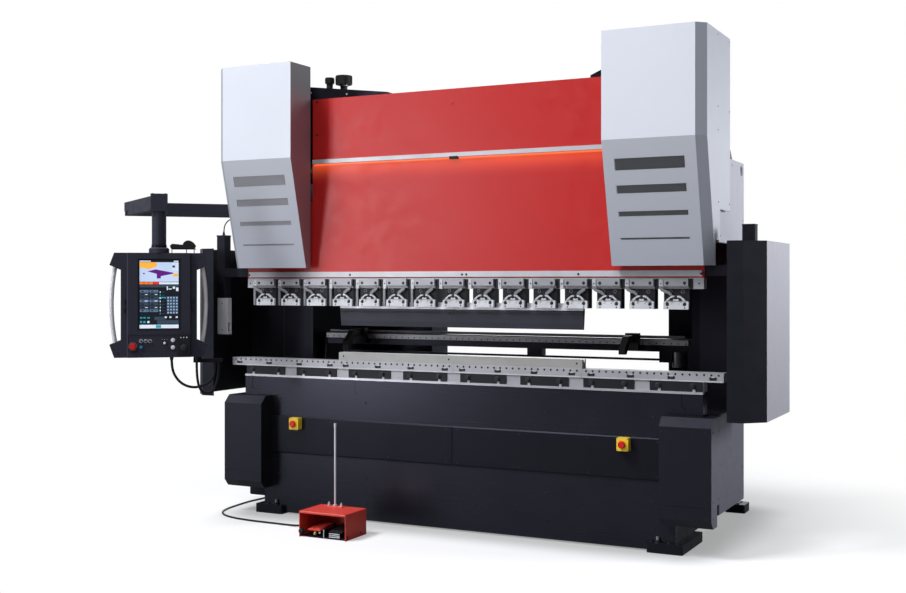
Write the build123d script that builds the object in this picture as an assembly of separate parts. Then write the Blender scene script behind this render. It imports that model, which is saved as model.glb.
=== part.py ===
from build123d import *
import math
import os

# A down-acting hydraulic press brake about 3.6 m long, with its swinging control panel, the
# light-curtain posts that ride with the ram, its back gauge and its foot pedal.
# Millimetres, +Z up, +X to the right as seen by the operator, who stands on the -Y side.
# The model is drawn with Y = 0 at the bending line and X = 0 halfway along the bed.
# At the end it is moved back by BEND_LINE, so that the origin lies on the floor,
# at the centre of the four anchor holes.

# Frames
FRAME_IN = 1352.0  # inner face of a side frame, half the clear width between the frames
FRAME_T = 48.0  # side frame plate
FRAME_OUT = FRAME_IN + FRAME_T
FRAME_REAR = 1400.0  # rear edge of the frames, from the bending line
FRAME_TOP = 2760.0
THROAT_BACK = 453.0  # throat depth from the bending line
THROAT_HIGH = 1750.0  # bottom of the upper jaw
LOWER_JAW_Y = 70.0  # front edge of the lower jaw
UPPER_JAW_Y = 45.0  # front edge of the upper jaw beside the ram
CYL_STEP_Z = 2180.0  # the frame's step that carries the cylinder's mounting plate
CYL_STEP_Y = 125.0
FOOT_H = 56.0
FOOT_HOLE_X = FRAME_OUT + 24.0
FOOT_HOLE_R = 11.0
FRONT_HOLE_Y = -50.0
REAR_HOLE_Y = FRAME_REAR - 30.0
BEND_LINE = -(FRONT_HOLE_Y + REAR_HOLE_Y) / 2  # Y of the bending line once the origin is at the holes

# Bed, a sandwich of three plates
BED_HALF = FRAME_OUT + 157.0  # half length above the boxes
BED_LOW_HALF = FRAME_OUT  # half length lower down
BED_STEP_Z = 700.0
BED_FRONT = -57.0
BED_TOP = 912.0
BED_BOTTOM = 10.0
THROAT_LOW = BED_TOP - 52.0  # top of the frames' lower jaws
FRONT_PLATE_T = 37.0
TABLE_T = 50.0
LEDGE_H = 13.0
LEDGE_OUT = 3.0
SLIT_W = 3.0
WEDGE_H = 56.0
WEDGE_HALF_Y = 38.0
RAIL_BOTTOM = BED_TOP + WEDGE_H
RAIL_H = 52.0
RAIL_TOP = RAIL_BOTTOM + RAIL_H
RAIL_HALF_Y = 45.0
DIE_H = 53.0
DIE_TOP = RAIL_TOP + DIE_H
DIE_HALF_Y = 30.0
TOOL_LENGTH = 835.0  # one rail, one die and one punch
END_GAP = 0.5  # from the middle of a joint to the end of a rail, die or punch
CLAMP_PITCH = 400.0
CLAMP_W = 307.0
CLAMP_T = 7.0

# Ram
RAM_T = 50.0
RAM_HALF = FRAME_OUT + 157.0
RAM_NECK_HALF = FRAME_IN - 312.0
RAM_TOP = 2718.0
RAM_SHOULDER = 2050.0
RAM_BOTTOM = 1550.0
TOOL_RAIL_BOTTOM = RAM_BOTTOM - 63.0
TOOL_RAIL_HALF = RAM_HALF - 2.0
TOOL_RAIL_HALF_Y = 29.0
SCALE_LOW = RAM_BOTTOM + 8.0
SCALE_H = 34.0
SCALE_T = 8.0
LIGHT_LOW = 2290.0
LIGHT_H = 32.0
LIGHT_OUT = 20.0
CYL_R = 105.0
ROD_R = 60.0
CYL_X = FRAME_IN - ROD_R + 8.0  # the rod stands just over the frame's edge
ROD_FIT = 0.4
ROD_FLANGE_H = 30.0
MOUNT_T = 60.0
HOLDER_PITCH = 200.0
HOLDER_W = 148.0
HOLDER_H = 115.0
HOLDER_BOTTOM = TOOL_RAIL_BOTTOM - HOLDER_H
HOLDER_HALF_Y = 30.0
PUNCH_TIP = HOLDER_BOTTOM - 127.0
PUNCH_SHOULDER = HOLDER_BOTTOM - 27.0
TANG_HALF = 6.5
TANG_H = 28.0
TANG_FIT = 0.3

# Sheet-metal covers
SIDE_OUT = FRAME_OUT + 200.0
SIDE_FRONT = 130.0
SIDE_REAR = 728.0
SIDE_BOTTOM = 200.0
SIDE_TOP = 2250.0
SIDE_THROAT_LOW = THROAT_LOW - 90.0
COVER_T = 6.0
COVER_IN = RAM_NECK_HALF + 1.0
COVER_OUT = SIDE_OUT + 26.0
COVER_CHAMFER = 52.0
COVER_FRONT = -280.0
COVER_TOP = FRAME_TOP + 168.0
COVER_BEND_Z = 2318.0
COVER_LOW_Z = RAM_BOTTOM + 68.0
COVER_LOW_Y = -103.0
COVER_REAR = 279.0
COVER_IN_REAR = -50.0
COVER_SIDE_Z = 1933.0
COVER_STRIP_Z = COVER_LOW_Z + 141.0
COVER_STRIP_Y = 48.0
COVER_STRIP_W = 60.0
CYL_HEAD_LOW = COVER_TOP - 148.0
CYL_HEAD_H = 70.0
BORE_TOP = CYL_HEAD_LOW - 40.0
ROD_TOP = BORE_TOP - 120.0
BOX_IN = FRAME_IN - 11.0
BOX_OUT = SIDE_OUT + 36.0
BOX_FRONT = -178.0
BOX_TOP = 777.0
BOX_BOTTOM = 173.0
BOX_SEAM = 291.0
PANEL_LOW = 402.0
PANEL_HIGH = 644.0
PANEL_OUT = 9.0
STOP_Z = 603.0
STOP_RIGHT = FRAME_IN - 245.0  # middle of the right emergency-stop box
STOP_LEFT = FRAME_IN - 220.0
STOP_BOX_T = 46.0
GUARD_IN = SIDE_OUT + 122.0
GUARD_FLANGE = 90.0
GUARD_OUT = GUARD_IN + 193.0
GUARD_FRONT = -187.0
GUARD_CHAMFER = 103.0
GUARD_REAR = THROAT_BACK + 70.0
GUARD_LOW = 767.0
GUARD_HIGH = THROAT_HIGH
GUARD_T = 6.0

# Oil tank between the frames, behind the ram
TANK_TOP = FRAME_TOP - 60.0
TANK_H = 370.0
TANK_FRONT = 150.0
HOUSING_FRONT = TANK_FRONT + 20.0
HOUSING_LEFT = -FRAME_IN + 152.0
HOUSING_RIGHT = -FRAME_IN + 762.0
HOUSING_LEFT_TOP = TANK_TOP + 141.0
HOUSING_RIGHT_TOP = TANK_TOP + 66.0

# Light-curtain posts on the ram
POST_IN = GUARD_IN + 40.0
POST_W = 72.0
POST_FRONT = -8.0
POST_D = 66.0
POST_TOP = RAM_BOTTOM + 295.0
POST_BOTTOM = RAM_BOTTOM - 133.0
HEAD_BOTTOM = POST_BOTTOM - 251.0
POST_ARM_LOW = RAM_BOTTOM + 10.0
POST_ARM_H = 60.0

# Control arm and panel
PIVOT = (-SIDE_OUT - 90.0, COVER_REAR + 11.0)
ELBOW = (PIVOT[0] - 614.0, PIVOT[1] - 634.0)
PANEL_AXIS = (ELBOW[0] + 636.0, ELBOW[1] - 450.0)
PANEL_TURN = 40.5  # degrees that the panel is turned from facing straight forwards
ARM_LOW = 1975.0
ARM_H = 90.0
ARM_HIGH = ARM_LOW + ARM_H
ARM_W = 60.0
ELBOW_SPLIT = ARM_LOW + 30.0  # the inner arm's share of the elbow lies below this
ELBOW_CLEAR = 62.0  # from the elbow's axis to where each arm has its full height
PANEL_BOTTOM = 1061.0
PANEL_TOP = 1706.0
PANEL_DEPTH = 80.0
POLE_R = 44.0
COLLAR_R = 62.0
COLLAR_H = 34.0
HINGE_GAP = 0.3
SHELF_LEFT = 75.0  # the wire shelf on the panel, in the panel's own axes
SHELF_RIGHT = 224.0
SHELF_H = 28.0
SHELF_WIRE = 5.0

# Back gauge
GAUGE_Y = 600.0
SLIDEWAY_Z = 800.0
SLIDEWAY_FRONT = 190.0
SLIDEWAY_REAR = 1080.0
SLIDEWAY_W = 50.0
SLIDE_RAIL_IN = 12.0  # from the frame to the guide rail
SLIDE_RAIL_W = 26.0
SLIDE_RAIL_H = 24.0
SLIDE_FIT = 0.3
BEAM_LOW = SLIDEWAY_Z + 296.0
BEAM_H = 79.0
BEAM_HIGH = BEAM_LOW + BEAM_H
BEAM_HALF_Y = 40.0
BEAM_HALF = FRAME_IN - 30.0
TRACK_T = 10.0

# Pedal
PEDAL_LEFT = -749.0
PEDAL_RIGHT = -424.0
PEDAL_FRONT = -615.0
PEDAL_REAR = -376.0
PEDAL_TOP = 156.0
PEDAL_SHEET = 4.0
HINGE_Y = PEDAL_REAR - 56.0
HINGE_Z = 50.0
HINGE_R = 5.0
CABLE_R = 6.0
LOOP_R = 8.0
SENSOR_R = 4.0


def rect(x0, x1, y0, y1):
    return Pos((x0 + x1) / 2, (y0 + y1) / 2) * Rectangle(x1 - x0, y1 - y0)


def outline(*points):
    return make_face(Polyline(*points, close=True))


def along_x(profile, x0, x1):
    # A profile in (Y, Z), extruded from x0 to x1.
    return extrude(Plane.YZ.offset(x0) * profile, x1 - x0)


def along_y(profile, y0, y1):
    # A profile in (X, Z), extruded from y0 to y1.
    return extrude(Plane.XZ.offset(-y1) * profile, y1 - y0)


def along_z(profile, z0, z1):
    # A profile in (X, Y), extruded from z0 to z1.
    return extrude(Plane.XY.offset(z0) * profile, z1 - z0)


def block(x0, x1, y0, y1, z0, z1):
    return along_z(rect(x0, x1, y0, y1), z0, z1)


def upright(x, y, r, z0, z1):
    return along_z(Pos(x, y) * Circle(r), z0, z1)


def both_sides(shape):
    # The shape and its mirror image on the other side of the machine.
    return [shape, mirror(shape, Plane.YZ)]


def side_frame():
    # The right C-frame, a single thick plate with a throat behind the tools.
    lower_rear = 2150.0
    slope_start = 900.0
    profile = outline(
        (LOWER_JAW_Y, FOOT_H),
        (LOWER_JAW_Y, THROAT_LOW),
        (THROAT_BACK, THROAT_LOW),
        (THROAT_BACK, THROAT_HIGH),
        (UPPER_JAW_Y, THROAT_HIGH),
        (UPPER_JAW_Y, CYL_STEP_Z),
        (CYL_STEP_Y, CYL_STEP_Z),
        (CYL_STEP_Y, FRAME_TOP),
        (slope_start, FRAME_TOP),
        (FRAME_REAR, lower_rear),
        (FRAME_REAR, FOOT_H),
    )
    throat_corners = profile.vertices().filter_by(
        lambda v: abs(v.X - THROAT_BACK) < 1 and THROAT_LOW - 1 < v.Y < THROAT_HIGH + 1
    )
    profile = fillet(throat_corners, 90)
    rear_corners = profile.vertices().filter_by(lambda v: v.X > slope_start - 1 and v.Y > lower_rear - 1)
    profile = fillet(rear_corners, 60)
    lifting_hole = Pos(720, FRAME_TOP - 140) * Circle(45)
    return along_x(profile - lifting_hole, FRAME_IN, FRAME_OUT)


def feet():
    # Front and rear levelling feet, each with one anchor hole outboard of the frame.
    front_pad = rect(FRAME_IN - 112, FOOT_HOLE_X + 26, FRONT_HOLE_Y - 40, FRONT_HOLE_Y + 391)
    rear_pad = rect(FRAME_IN - 12, FOOT_HOLE_X + 46, REAR_HOLE_Y - 70, REAR_HOLE_Y + 70)
    front_pad = fillet(front_pad.vertices(), 12)
    rear_pad = fillet(rear_pad.vertices(), 12)
    front = along_z(front_pad - Pos(FOOT_HOLE_X, FRONT_HOLE_Y) * Circle(FOOT_HOLE_R), 0, FOOT_H)
    rear = along_z(rear_pad - Pos(FOOT_HOLE_X, REAR_HOLE_Y) * Circle(FOOT_HOLE_R), 0, FOOT_H)
    return both_sides(front) + both_sides(rear)


def bed_front_plate():
    # Wide above the boxes, narrower below, notched over the feet, with a machined ledge on top.
    notch = FRAME_IN - 117.0
    shape = outline(
        (-notch, BED_BOTTOM),
        (notch, BED_BOTTOM),
        (notch, FOOT_H),
        (BED_LOW_HALF, FOOT_H),
        (BED_LOW_HALF, BED_STEP_Z),
        (BED_HALF, BED_STEP_Z),
        (BED_HALF, BED_TOP),
        (-BED_HALF, BED_TOP),
        (-BED_HALF, BED_STEP_Z),
        (-BED_LOW_HALF, BED_STEP_Z),
        (-BED_LOW_HALF, FOOT_H),
        (-notch, FOOT_H),
    )
    back = BED_FRONT + FRONT_PLATE_T
    plate = along_y(shape, BED_FRONT + LEDGE_OUT, back)
    ledge = block(-BED_HALF, BED_HALF, BED_FRONT, BED_FRONT + LEDGE_OUT, BED_TOP - LEDGE_H, BED_TOP)
    bed = plate + ledge
    for x in (57.0 - BED_HALF, 854.0 - BED_HALF, BED_HALF - 123.0):
        bed -= relief_slit(x)
    return bed


def relief_slit(x):
    # A narrow slit below the ledge that ends in a short slant.
    top = BED_TOP - LEDGE_H
    length = 68.0
    slant_x = 22.0
    slant_z = 20.0
    shape = outline(
        (x, top),
        (x + SLIT_W, top),
        (x + SLIT_W, top - length),
        (x + SLIT_W + slant_x, top - length - slant_z),
        (x + slant_x, top - length - slant_z - SLIT_W),
        (x, top - length - 1),
    )
    face = BED_FRONT + LEDGE_OUT
    return along_y(shape, face - 1, face + 8)


def table_plate():
    # The middle plate, which carries the load of the dies.
    back = BED_FRONT + FRONT_PLATE_T + TABLE_T
    shape = outline(
        (-BED_LOW_HALF, FOOT_H),
        (BED_LOW_HALF, FOOT_H),
        (BED_LOW_HALF, BED_STEP_Z),
        (BED_HALF, BED_STEP_Z),
        (BED_HALF, BED_TOP),
        (-BED_HALF, BED_TOP),
        (-BED_HALF, BED_STEP_Z),
        (-BED_LOW_HALF, BED_STEP_Z),
    )
    return along_y(shape, BED_FRONT + FRONT_PLATE_T, back)


def bed_rear_plate():
    front = BED_FRONT + FRONT_PLATE_T + TABLE_T
    return block(-BED_LOW_HALF, BED_LOW_HALF, front, LOWER_JAW_Y, FOOT_H, BED_TOP)


def bed_cover_panels():
    # Two sheet covers across the front of the bed, meeting at a seam in the middle.
    seam = 2.0
    edge = 8.0
    y_back = BED_FRONT + LEDGE_OUT
    y_front = y_back - PANEL_OUT - LEDGE_OUT
    profile = outline(
        (y_back, PANEL_LOW),
        (y_front + edge / 2, PANEL_LOW),
        (y_front, PANEL_LOW + edge),
        (y_front, PANEL_HIGH - edge),
        (y_front + edge / 2, PANEL_HIGH),
        (y_back, PANEL_HIGH),
    )
    return both_sides(along_x(profile, seam, BOX_IN - seam))


def wedge_bar():
    return block(-BED_HALF, BED_HALF, -WEDGE_HALF_Y, WEDGE_HALF_Y, BED_TOP, RAIL_BOTTOM)


def wedge_clamps():
    # Eight clamp plates along the front of the wedge bar.
    plates = []
    count = int((2 * BED_HALF - CLAMP_W) // CLAMP_PITCH) + 1
    for i in range(count):
        x = (i - (count - 1) / 2) * CLAMP_PITCH
        shape = rect(x - CLAMP_W / 2, x + CLAMP_W / 2, BED_TOP + 1, RAIL_BOTTOM - 1)
        shape = chamfer(shape.vertices(), 3)
        plates.append(along_y(shape, -WEDGE_HALF_Y - CLAMP_T, -WEDGE_HALF_Y))
    return plates


def die_rails():
    # Four hardened rails end to end, with clamping notches along the lower front edge.
    rails = []
    notch_half = 22.0
    notch_low = RAIL_BOTTOM + 10
    notch_high = notch_low + 20
    for i in range(4):
        x = (i - 1.5) * TOOL_LENGTH
        half = TOOL_LENGTH / 2 - END_GAP
        rail = block(x - half, x + half, -RAIL_HALF_Y, RAIL_HALF_Y, RAIL_BOTTOM, RAIL_TOP)
        for share in (-3, -1, 1, 3):
            middle = x + share * TOOL_LENGTH / 7
            slot = rect(middle - notch_half, middle + notch_half, notch_low, notch_high)
            slot = chamfer(slot.vertices(), 5)
            rail -= along_y(slot, -RAIL_HALF_Y - 1, -RAIL_HALF_Y + 12)
        rails.append(rail)
    return rails


def dies():
    # Two lengths of single-V die.
    v_half = 12.5
    v_depth = 20.0
    profile = outline(
        (-DIE_HALF_Y, RAIL_TOP),
        (DIE_HALF_Y, RAIL_TOP),
        (DIE_HALF_Y, DIE_TOP),
        (v_half, DIE_TOP),
        (0, DIE_TOP - v_depth),
        (-v_half, DIE_TOP),
        (-DIE_HALF_Y, DIE_TOP),
    )
    return both_sides(along_x(profile, END_GAP, TOOL_LENGTH))


def front_box():
    # The right front box: a closed sheet box with slanted top and bottom, wrapping round the bed's end.
    profile = outline(
        (BED_FRONT + LEDGE_OUT, BOX_BOTTOM),
        (BOX_FRONT + 38, BOX_BOTTOM),
        (BOX_FRONT, BOX_BOTTOM + 44),
        (BOX_FRONT, BOX_TOP - 50),
        (BOX_FRONT + 50, BOX_TOP),
        (BED_FRONT, BOX_TOP),
        (BED_FRONT, BOX_TOP - 1),
        (BED_FRONT + LEDGE_OUT, BOX_TOP - 1),
    )
    box = along_x(profile, BOX_IN, BOX_OUT)
    wrap = block(BED_HALF + 3, BOX_OUT, BED_FRONT + LEDGE_OUT, 59, BOX_SEAM, BOX_TOP - 1)
    seam = block(BOX_IN - 1, BOX_OUT + 1, BOX_FRONT - 1, BOX_FRONT + 2, BOX_SEAM - 1.5, BOX_SEAM + 1.5)
    return box + wrap - seam


def cable_duct():
    # A low duct on the outside of the left frame, under the side cover.
    duct = block(-BOX_OUT, -FRAME_OUT, 105, 400, FOOT_H + 17, BOX_BOTTOM)
    return fillet(duct.edges().filter_by(Axis.Y).group_by(Axis.X)[0], 8)


def side_cover():
    # The right side cover, cut back round the throat.
    profile = outline(
        (SIDE_FRONT, SIDE_BOTTOM),
        (SIDE_FRONT, SIDE_THROAT_LOW),
        (THROAT_BACK, SIDE_THROAT_LOW),
        (THROAT_BACK, THROAT_HIGH),
        (SIDE_FRONT, THROAT_HIGH),
        (SIDE_FRONT, SIDE_TOP),
        (SIDE_REAR, SIDE_TOP),
        (SIDE_REAR, SIDE_BOTTOM),
    )
    cover = along_x(profile, FRAME_OUT, SIDE_OUT)
    inspection_hole = Pos(SIDE_REAR - 60, SIDE_TOP - 51) * Circle(30)
    cover -= along_x(inspection_hole, SIDE_OUT - 20, SIDE_OUT + 1)
    outer_edges = cover.edges().filter_by(lambda e: e.center().X > SIDE_OUT - 0.1 and e.length > 100)
    return chamfer(outer_edges, 4)


def cover_section(front, grow, rear):
    # One horizontal section of the cylinder cover's outer (grow = 0) or inner surface.
    flat = COVER_CHAMFER + grow * 0.41
    return outline(
        (COVER_IN + grow, rear),
        (COVER_IN + grow, front + grow),
        (COVER_OUT - flat, front + grow),
        (COVER_OUT - grow, front + flat),
        (COVER_OUT - grow, rear),
    )


def cover_front_at(z):
    # Y of the sloped front face at height z.
    share = (COVER_BEND_Z - z) / (COVER_BEND_Z - COVER_LOW_Z)
    return COVER_FRONT + max(0.0, share) * (COVER_LOW_Y - COVER_FRONT)


def cover_solid(grow, rear, z_low, z_high):
    # The closed form inside one surface of the cover: upright above, sloping back below.
    lean = (COVER_LOW_Y - COVER_FRONT) / (COVER_BEND_Z - COVER_LOW_Z)
    low_front = COVER_LOW_Y + lean * (COVER_LOW_Z - z_low)
    upper = along_z(cover_section(COVER_FRONT, grow, rear), COVER_BEND_Z, z_high)
    lower = loft(
        [
            Plane.XY.offset(z_low) * cover_section(low_front, grow, rear),
            Plane.XY.offset(COVER_BEND_Z) * cover_section(COVER_FRONT, grow, rear),
        ],
        ruled=True,
    )
    return upper + lower


def cylinder_cover():
    # The right cylinder cover: a bent sheet shell, open at the back and below, with four vents.
    shell = cover_solid(0, COVER_REAR, COVER_LOW_Z, COVER_TOP)
    shell -= cover_solid(COVER_T, COVER_REAR + 10, COVER_LOW_Z - 10, COVER_TOP - COVER_T)
    strip = COVER_OUT - COVER_STRIP_W
    lid_in = CYL_X - CYL_R + 15
    lid_rear = CYL_STEP_Y
    shell -= block(COVER_IN - 1, strip, COVER_IN_REAR, COVER_REAR + 1, COVER_LOW_Z - 1, COVER_TOP - COVER_T)
    shell -= block(COVER_IN - 1, lid_in, COVER_IN_REAR, COVER_REAR + 1, COVER_TOP - COVER_T - 1, COVER_TOP + 1)
    shell -= block(lid_in - 1, strip, lid_rear, COVER_REAR + 1, COVER_TOP - COVER_T - 1, COVER_TOP + 1)
    shell -= block(strip, COVER_OUT + 1, COVER_STRIP_Y, COVER_REAR + 1, COVER_LOW_Z - 1, COVER_SIDE_Z)
    shell -= block(
        strip,
        COVER_OUT + 1,
        COVER_LOW_Y + COVER_CHAMFER + 1,
        COVER_STRIP_Y + 1,
        COVER_LOW_Z - 1,
        COVER_STRIP_Z,
    )
    vent_in = COVER_IN + 65.0
    vent_out = COVER_OUT - 117.0
    vent_depth = 4.0
    for low, high in ((2148, 2213), (2021, 2066), (1894, 1922), (1764, 1775)):
        sink = outline(
            (cover_front_at(low) - 10, low),
            (cover_front_at(low) + vent_depth, low),
            (cover_front_at(high) + vent_depth, high),
            (cover_front_at(high) - 10, high),
        )
        shell -= along_x(sink, vent_in, vent_out)
    return shell


def cylinder_mount():
    # The plate on the frame's step that carries the cylinder and the cover's walls.
    plate = block(
        COVER_IN + COVER_T,
        COVER_OUT - COVER_T,
        -CYL_STEP_Y,
        CYL_STEP_Y,
        CYL_STEP_Z,
        CYL_STEP_Z + MOUNT_T,
    )
    return plate - upright(CYL_X, 0, ROD_R + ROD_FIT, CYL_STEP_Z - 1, CYL_STEP_Z + MOUNT_T + 1)


def cylinder():
    # The hydraulic cylinder: a barrel with a head and a blind bore for the rod.
    low = CYL_STEP_Z + MOUNT_T
    barrel = upright(CYL_X, 0, CYL_R, low, CYL_HEAD_LOW)
    head = upright(CYL_X, 0, CYL_R + 14, CYL_HEAD_LOW, CYL_HEAD_LOW + CYL_HEAD_H)
    port = along_y(Pos(CYL_X, CYL_HEAD_LOW + CYL_HEAD_H / 2) * Circle(24), CYL_R - 5, CYL_R + 55)
    bore = upright(CYL_X, 0, ROD_R + ROD_FIT, low - 1, BORE_TOP)
    return barrel + head + port - bore


def piston_rod():
    # The rod, bolted to the ram's shoulder by a flange.
    flange_top = RAM_SHOULDER + ROD_FLANGE_H
    flange = block(CYL_X - 95, CYL_X + 95, -RAM_T / 2, RAM_T / 2, RAM_SHOULDER, flange_top)
    return flange + upright(CYL_X, 0, ROD_R, RAM_SHOULDER, ROD_TOP)


def tie_beams():
    # Cross plates between the frames at the rear.
    low = block(-FRAME_IN, FRAME_IN, FRAME_REAR - 40, FRAME_REAR, 100, 560)
    high = block(-FRAME_IN, FRAME_IN, 900, 940, 1800, 2200)
    return [low, high]


def oil_tank():
    # The tank behind the top of the ram, with a sloped filler housing on its left.
    tank = block(-FRAME_IN, FRAME_IN, TANK_FRONT, TANK_FRONT + 350, TANK_TOP - TANK_H, TANK_TOP)
    housing = outline(
        (HOUSING_LEFT, TANK_TOP),
        (HOUSING_RIGHT, TANK_TOP),
        (HOUSING_RIGHT, HOUSING_RIGHT_TOP),
        (HOUSING_LEFT, HOUSING_LEFT_TOP),
    )
    tank += along_y(housing, HOUSING_FRONT, HOUSING_FRONT + 310)
    foot = FRAME_IN - 541.0
    bracket = outline(
        (foot, TANK_TOP),
        (foot, TANK_TOP + 66),
        (foot + 96, TANK_TOP + 106),
        (foot + 96, TANK_TOP + 122),
        (foot + 120, TANK_TOP + 122),
        (foot + 120, TANK_TOP),
    )
    tank += along_y(bracket, HOUSING_FRONT, HOUSING_FRONT + 20)
    return tank


def housing_top(x):
    # Height of the sloped housing at x.
    slope = (HOUSING_RIGHT_TOP - HOUSING_LEFT_TOP) / (HOUSING_RIGHT - HOUSING_LEFT)
    return HOUSING_LEFT_TOP + slope * (x - HOUSING_LEFT)


def tank_caps():
    # A narrow breather and a wide filler cap, each on a neck that stands on the sloped housing.
    y = HOUSING_FRONT + 130
    tank = oil_tank()
    breather_x = HOUSING_LEFT + 84
    filler_x = HOUSING_LEFT + 197
    breather_low = HOUSING_LEFT_TOP + 34
    filler_low = HOUSING_LEFT_TOP + 19
    breather = upright(breather_x, y, 22, housing_top(breather_x) - 10, breather_low)
    breather += upright(breather_x, y, 30, breather_low, breather_low + 40)
    filler = upright(filler_x, y, 24, housing_top(filler_x) - 10, filler_low)
    filler += upright(filler_x, y, 55, filler_low, filler_low + 60)
    return [breather - tank, filler - tank]


def rear_cabinets():
    # Electrical and hydraulic cabinets hung between the frames at the rear.
    left = block(-FRAME_IN, -FRAME_IN + 577, FRAME_REAR - 250, FRAME_REAR, 700, 2100)
    right = block(FRAME_IN - 351, FRAME_IN, FRAME_REAR - 250, FRAME_REAR, 700, 2100)
    return [left, right]


def guard_front():
    # The right side guard's front flange and 45 degree corner.
    t = GUARD_T
    k = t * math.tan(math.radians(22.5))
    x1 = GUARD_IN + GUARD_FLANGE
    y2 = GUARD_FRONT + GUARD_CHAMFER
    profile = outline(
        (GUARD_IN, GUARD_FRONT),
        (x1, GUARD_FRONT),
        (GUARD_OUT, y2),
        (GUARD_OUT - t, y2 + k),
        (x1 - k, GUARD_FRONT + t),
        (GUARD_IN, GUARD_FRONT + t),
    )
    return along_z(profile, GUARD_LOW, GUARD_HIGH)


def guard_side():
    # The right side guard's long wall with a narrow rear return.
    t = GUARD_T
    k = t * math.tan(math.radians(22.5))
    y2 = GUARD_FRONT + GUARD_CHAMFER
    profile = outline(
        (GUARD_OUT, y2),
        (GUARD_OUT, GUARD_REAR),
        (GUARD_OUT - 40, GUARD_REAR),
        (GUARD_OUT - 40, GUARD_REAR - t),
        (GUARD_OUT - t, GUARD_REAR - t),
        (GUARD_OUT - t, y2 + k),
    )
    return along_z(profile, GUARD_LOW, GUARD_HIGH)


def guard_brackets():
    # Two brackets carry each guard from the side cover.
    brackets = []
    height = 60.0
    for low in (GUARD_LOW + 33, GUARD_HIGH - height):
        arm = block(SIDE_OUT, GUARD_OUT - GUARD_T, THROAT_BACK + 9, THROAT_BACK + 47, low, low + height)
        brackets += both_sides(arm)
    return brackets


def estop_box(x):
    # A yellow box on the bed's cover, with a bore for the button's stem.
    back = BED_FRONT - PANEL_OUT
    front = back - STOP_BOX_T
    box = block(x - 35, x + 35, front, back, STOP_Z - 38, STOP_Z + 38)
    box = fillet(box.edges().filter_by(Axis.Y), 6)
    return box - along_y(Pos(x, STOP_Z) * Circle(9 + HINGE_GAP), front - 1, front + 26)


def estop_button(x):
    # A mushroom head on a stem.
    face = BED_FRONT - PANEL_OUT - STOP_BOX_T
    stem = along_y(Pos(x, STOP_Z) * Circle(9), face - 8, face + 18)
    head = along_y(Pos(x, STOP_Z) * Circle(21), face - 22, face - 8)
    return chamfer((stem + head).edges().group_by(Axis.Y)[0], 4)


def slideways():
    # The back gauge's slideways on the inner faces of the frames.
    base = block(FRAME_IN - SLIDEWAY_W, FRAME_IN, SLIDEWAY_FRONT, SLIDEWAY_REAR, SLIDEWAY_Z - 60, SLIDEWAY_Z)
    out = FRAME_IN - SLIDE_RAIL_IN
    rail = block(out - SLIDE_RAIL_W, out, SLIDEWAY_FRONT, SLIDEWAY_REAR, SLIDEWAY_Z, SLIDEWAY_Z + SLIDE_RAIL_H)
    return both_sides(base + rail)


def gauge_beam():
    # The gauge's cross beam on two columns that run on the slideways.
    y = GAUGE_Y
    profile = rect(y - BEAM_HALF_Y, y + BEAM_HALF_Y, BEAM_LOW, BEAM_HIGH)
    beam = along_x(profile, -BEAM_HALF, BEAM_HALF)
    fit = SLIDE_FIT
    column = outline(
        (y - 70, SLIDEWAY_Z + fit),
        (y + 110, SLIDEWAY_Z + fit),
        (y + 110, SLIDEWAY_Z + 70),
        (y + 45, BEAM_HIGH - 10),
        (y - 45, BEAM_HIGH - 10),
        (y - 70, SLIDEWAY_Z + 70),
    )
    post = along_x(column, FRAME_IN - SLIDEWAY_W, FRAME_IN - 6)
    out = FRAME_IN - SLIDE_RAIL_IN
    groove_top = SLIDEWAY_Z + SLIDE_RAIL_H + fit
    post -= block(out - SLIDE_RAIL_W - fit, out + fit, y - 200, y + 200, SLIDEWAY_Z - 1, groove_top)
    for part in both_sides(post):
        beam += part
    return beam


def gauge_track():
    # The ground rail along the beam's front, on which the finger carriages run.
    y = GAUGE_Y - BEAM_HALF_Y
    return block(-BEAM_HALF + 20, BEAM_HALF - 20, y - TRACK_T, y, BEAM_HIGH - 38, BEAM_HIGH - 6)


def gauge_drive():
    # The lower drive bar, its middle bracket and the gearbox at the right.
    y = GAUGE_Y
    left_end = -FRAME_IN + 165
    right_end = FRAME_IN - 235
    bar_low = BEAM_LOW - 58
    bar_high = BEAM_LOW - 44
    bar = block(left_end, right_end, y - 8, y + 8, bar_low, bar_high)
    middle = block(228, 334, y - 30, y + 30, bar_high, BEAM_LOW)
    gearbox = block(right_end, right_end + 82, y - 40, y + 40, bar_low - 8, BEAM_LOW)
    left = block(left_end, left_end + 47, y - 20, y + 20, bar_high, BEAM_LOW)
    return bar + middle + gearbox + left


def gauge_finger(x):
    # A carriage that wraps the rail, with a stop finger reaching forward over the dies.
    fit = SLIDE_FIT
    y = GAUGE_Y - BEAM_HALF_Y
    half = 42.0
    tip = y - 235
    tip_low = BEAM_LOW - 10
    carriage = block(x - half, x + half, y - 48, y - TRACK_T - fit, BEAM_LOW + 4, BEAM_HIGH + 34)
    carriage += block(x - half, x + half, y - 48, y - 1, BEAM_HIGH - 6 + fit, BEAM_HIGH + 34)
    arm = outline(
        (y - 48, BEAM_HIGH + 20),
        (y - 150, BEAM_HIGH + 20),
        (tip, tip_low + 36),
        (tip, tip_low),
        (tip + 35, tip_low),
        (y - 140, BEAM_HIGH - 20),
        (y - 48, BEAM_HIGH - 20),
    )
    return carriage + along_x(arm, x - 20, x + 20)


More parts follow.
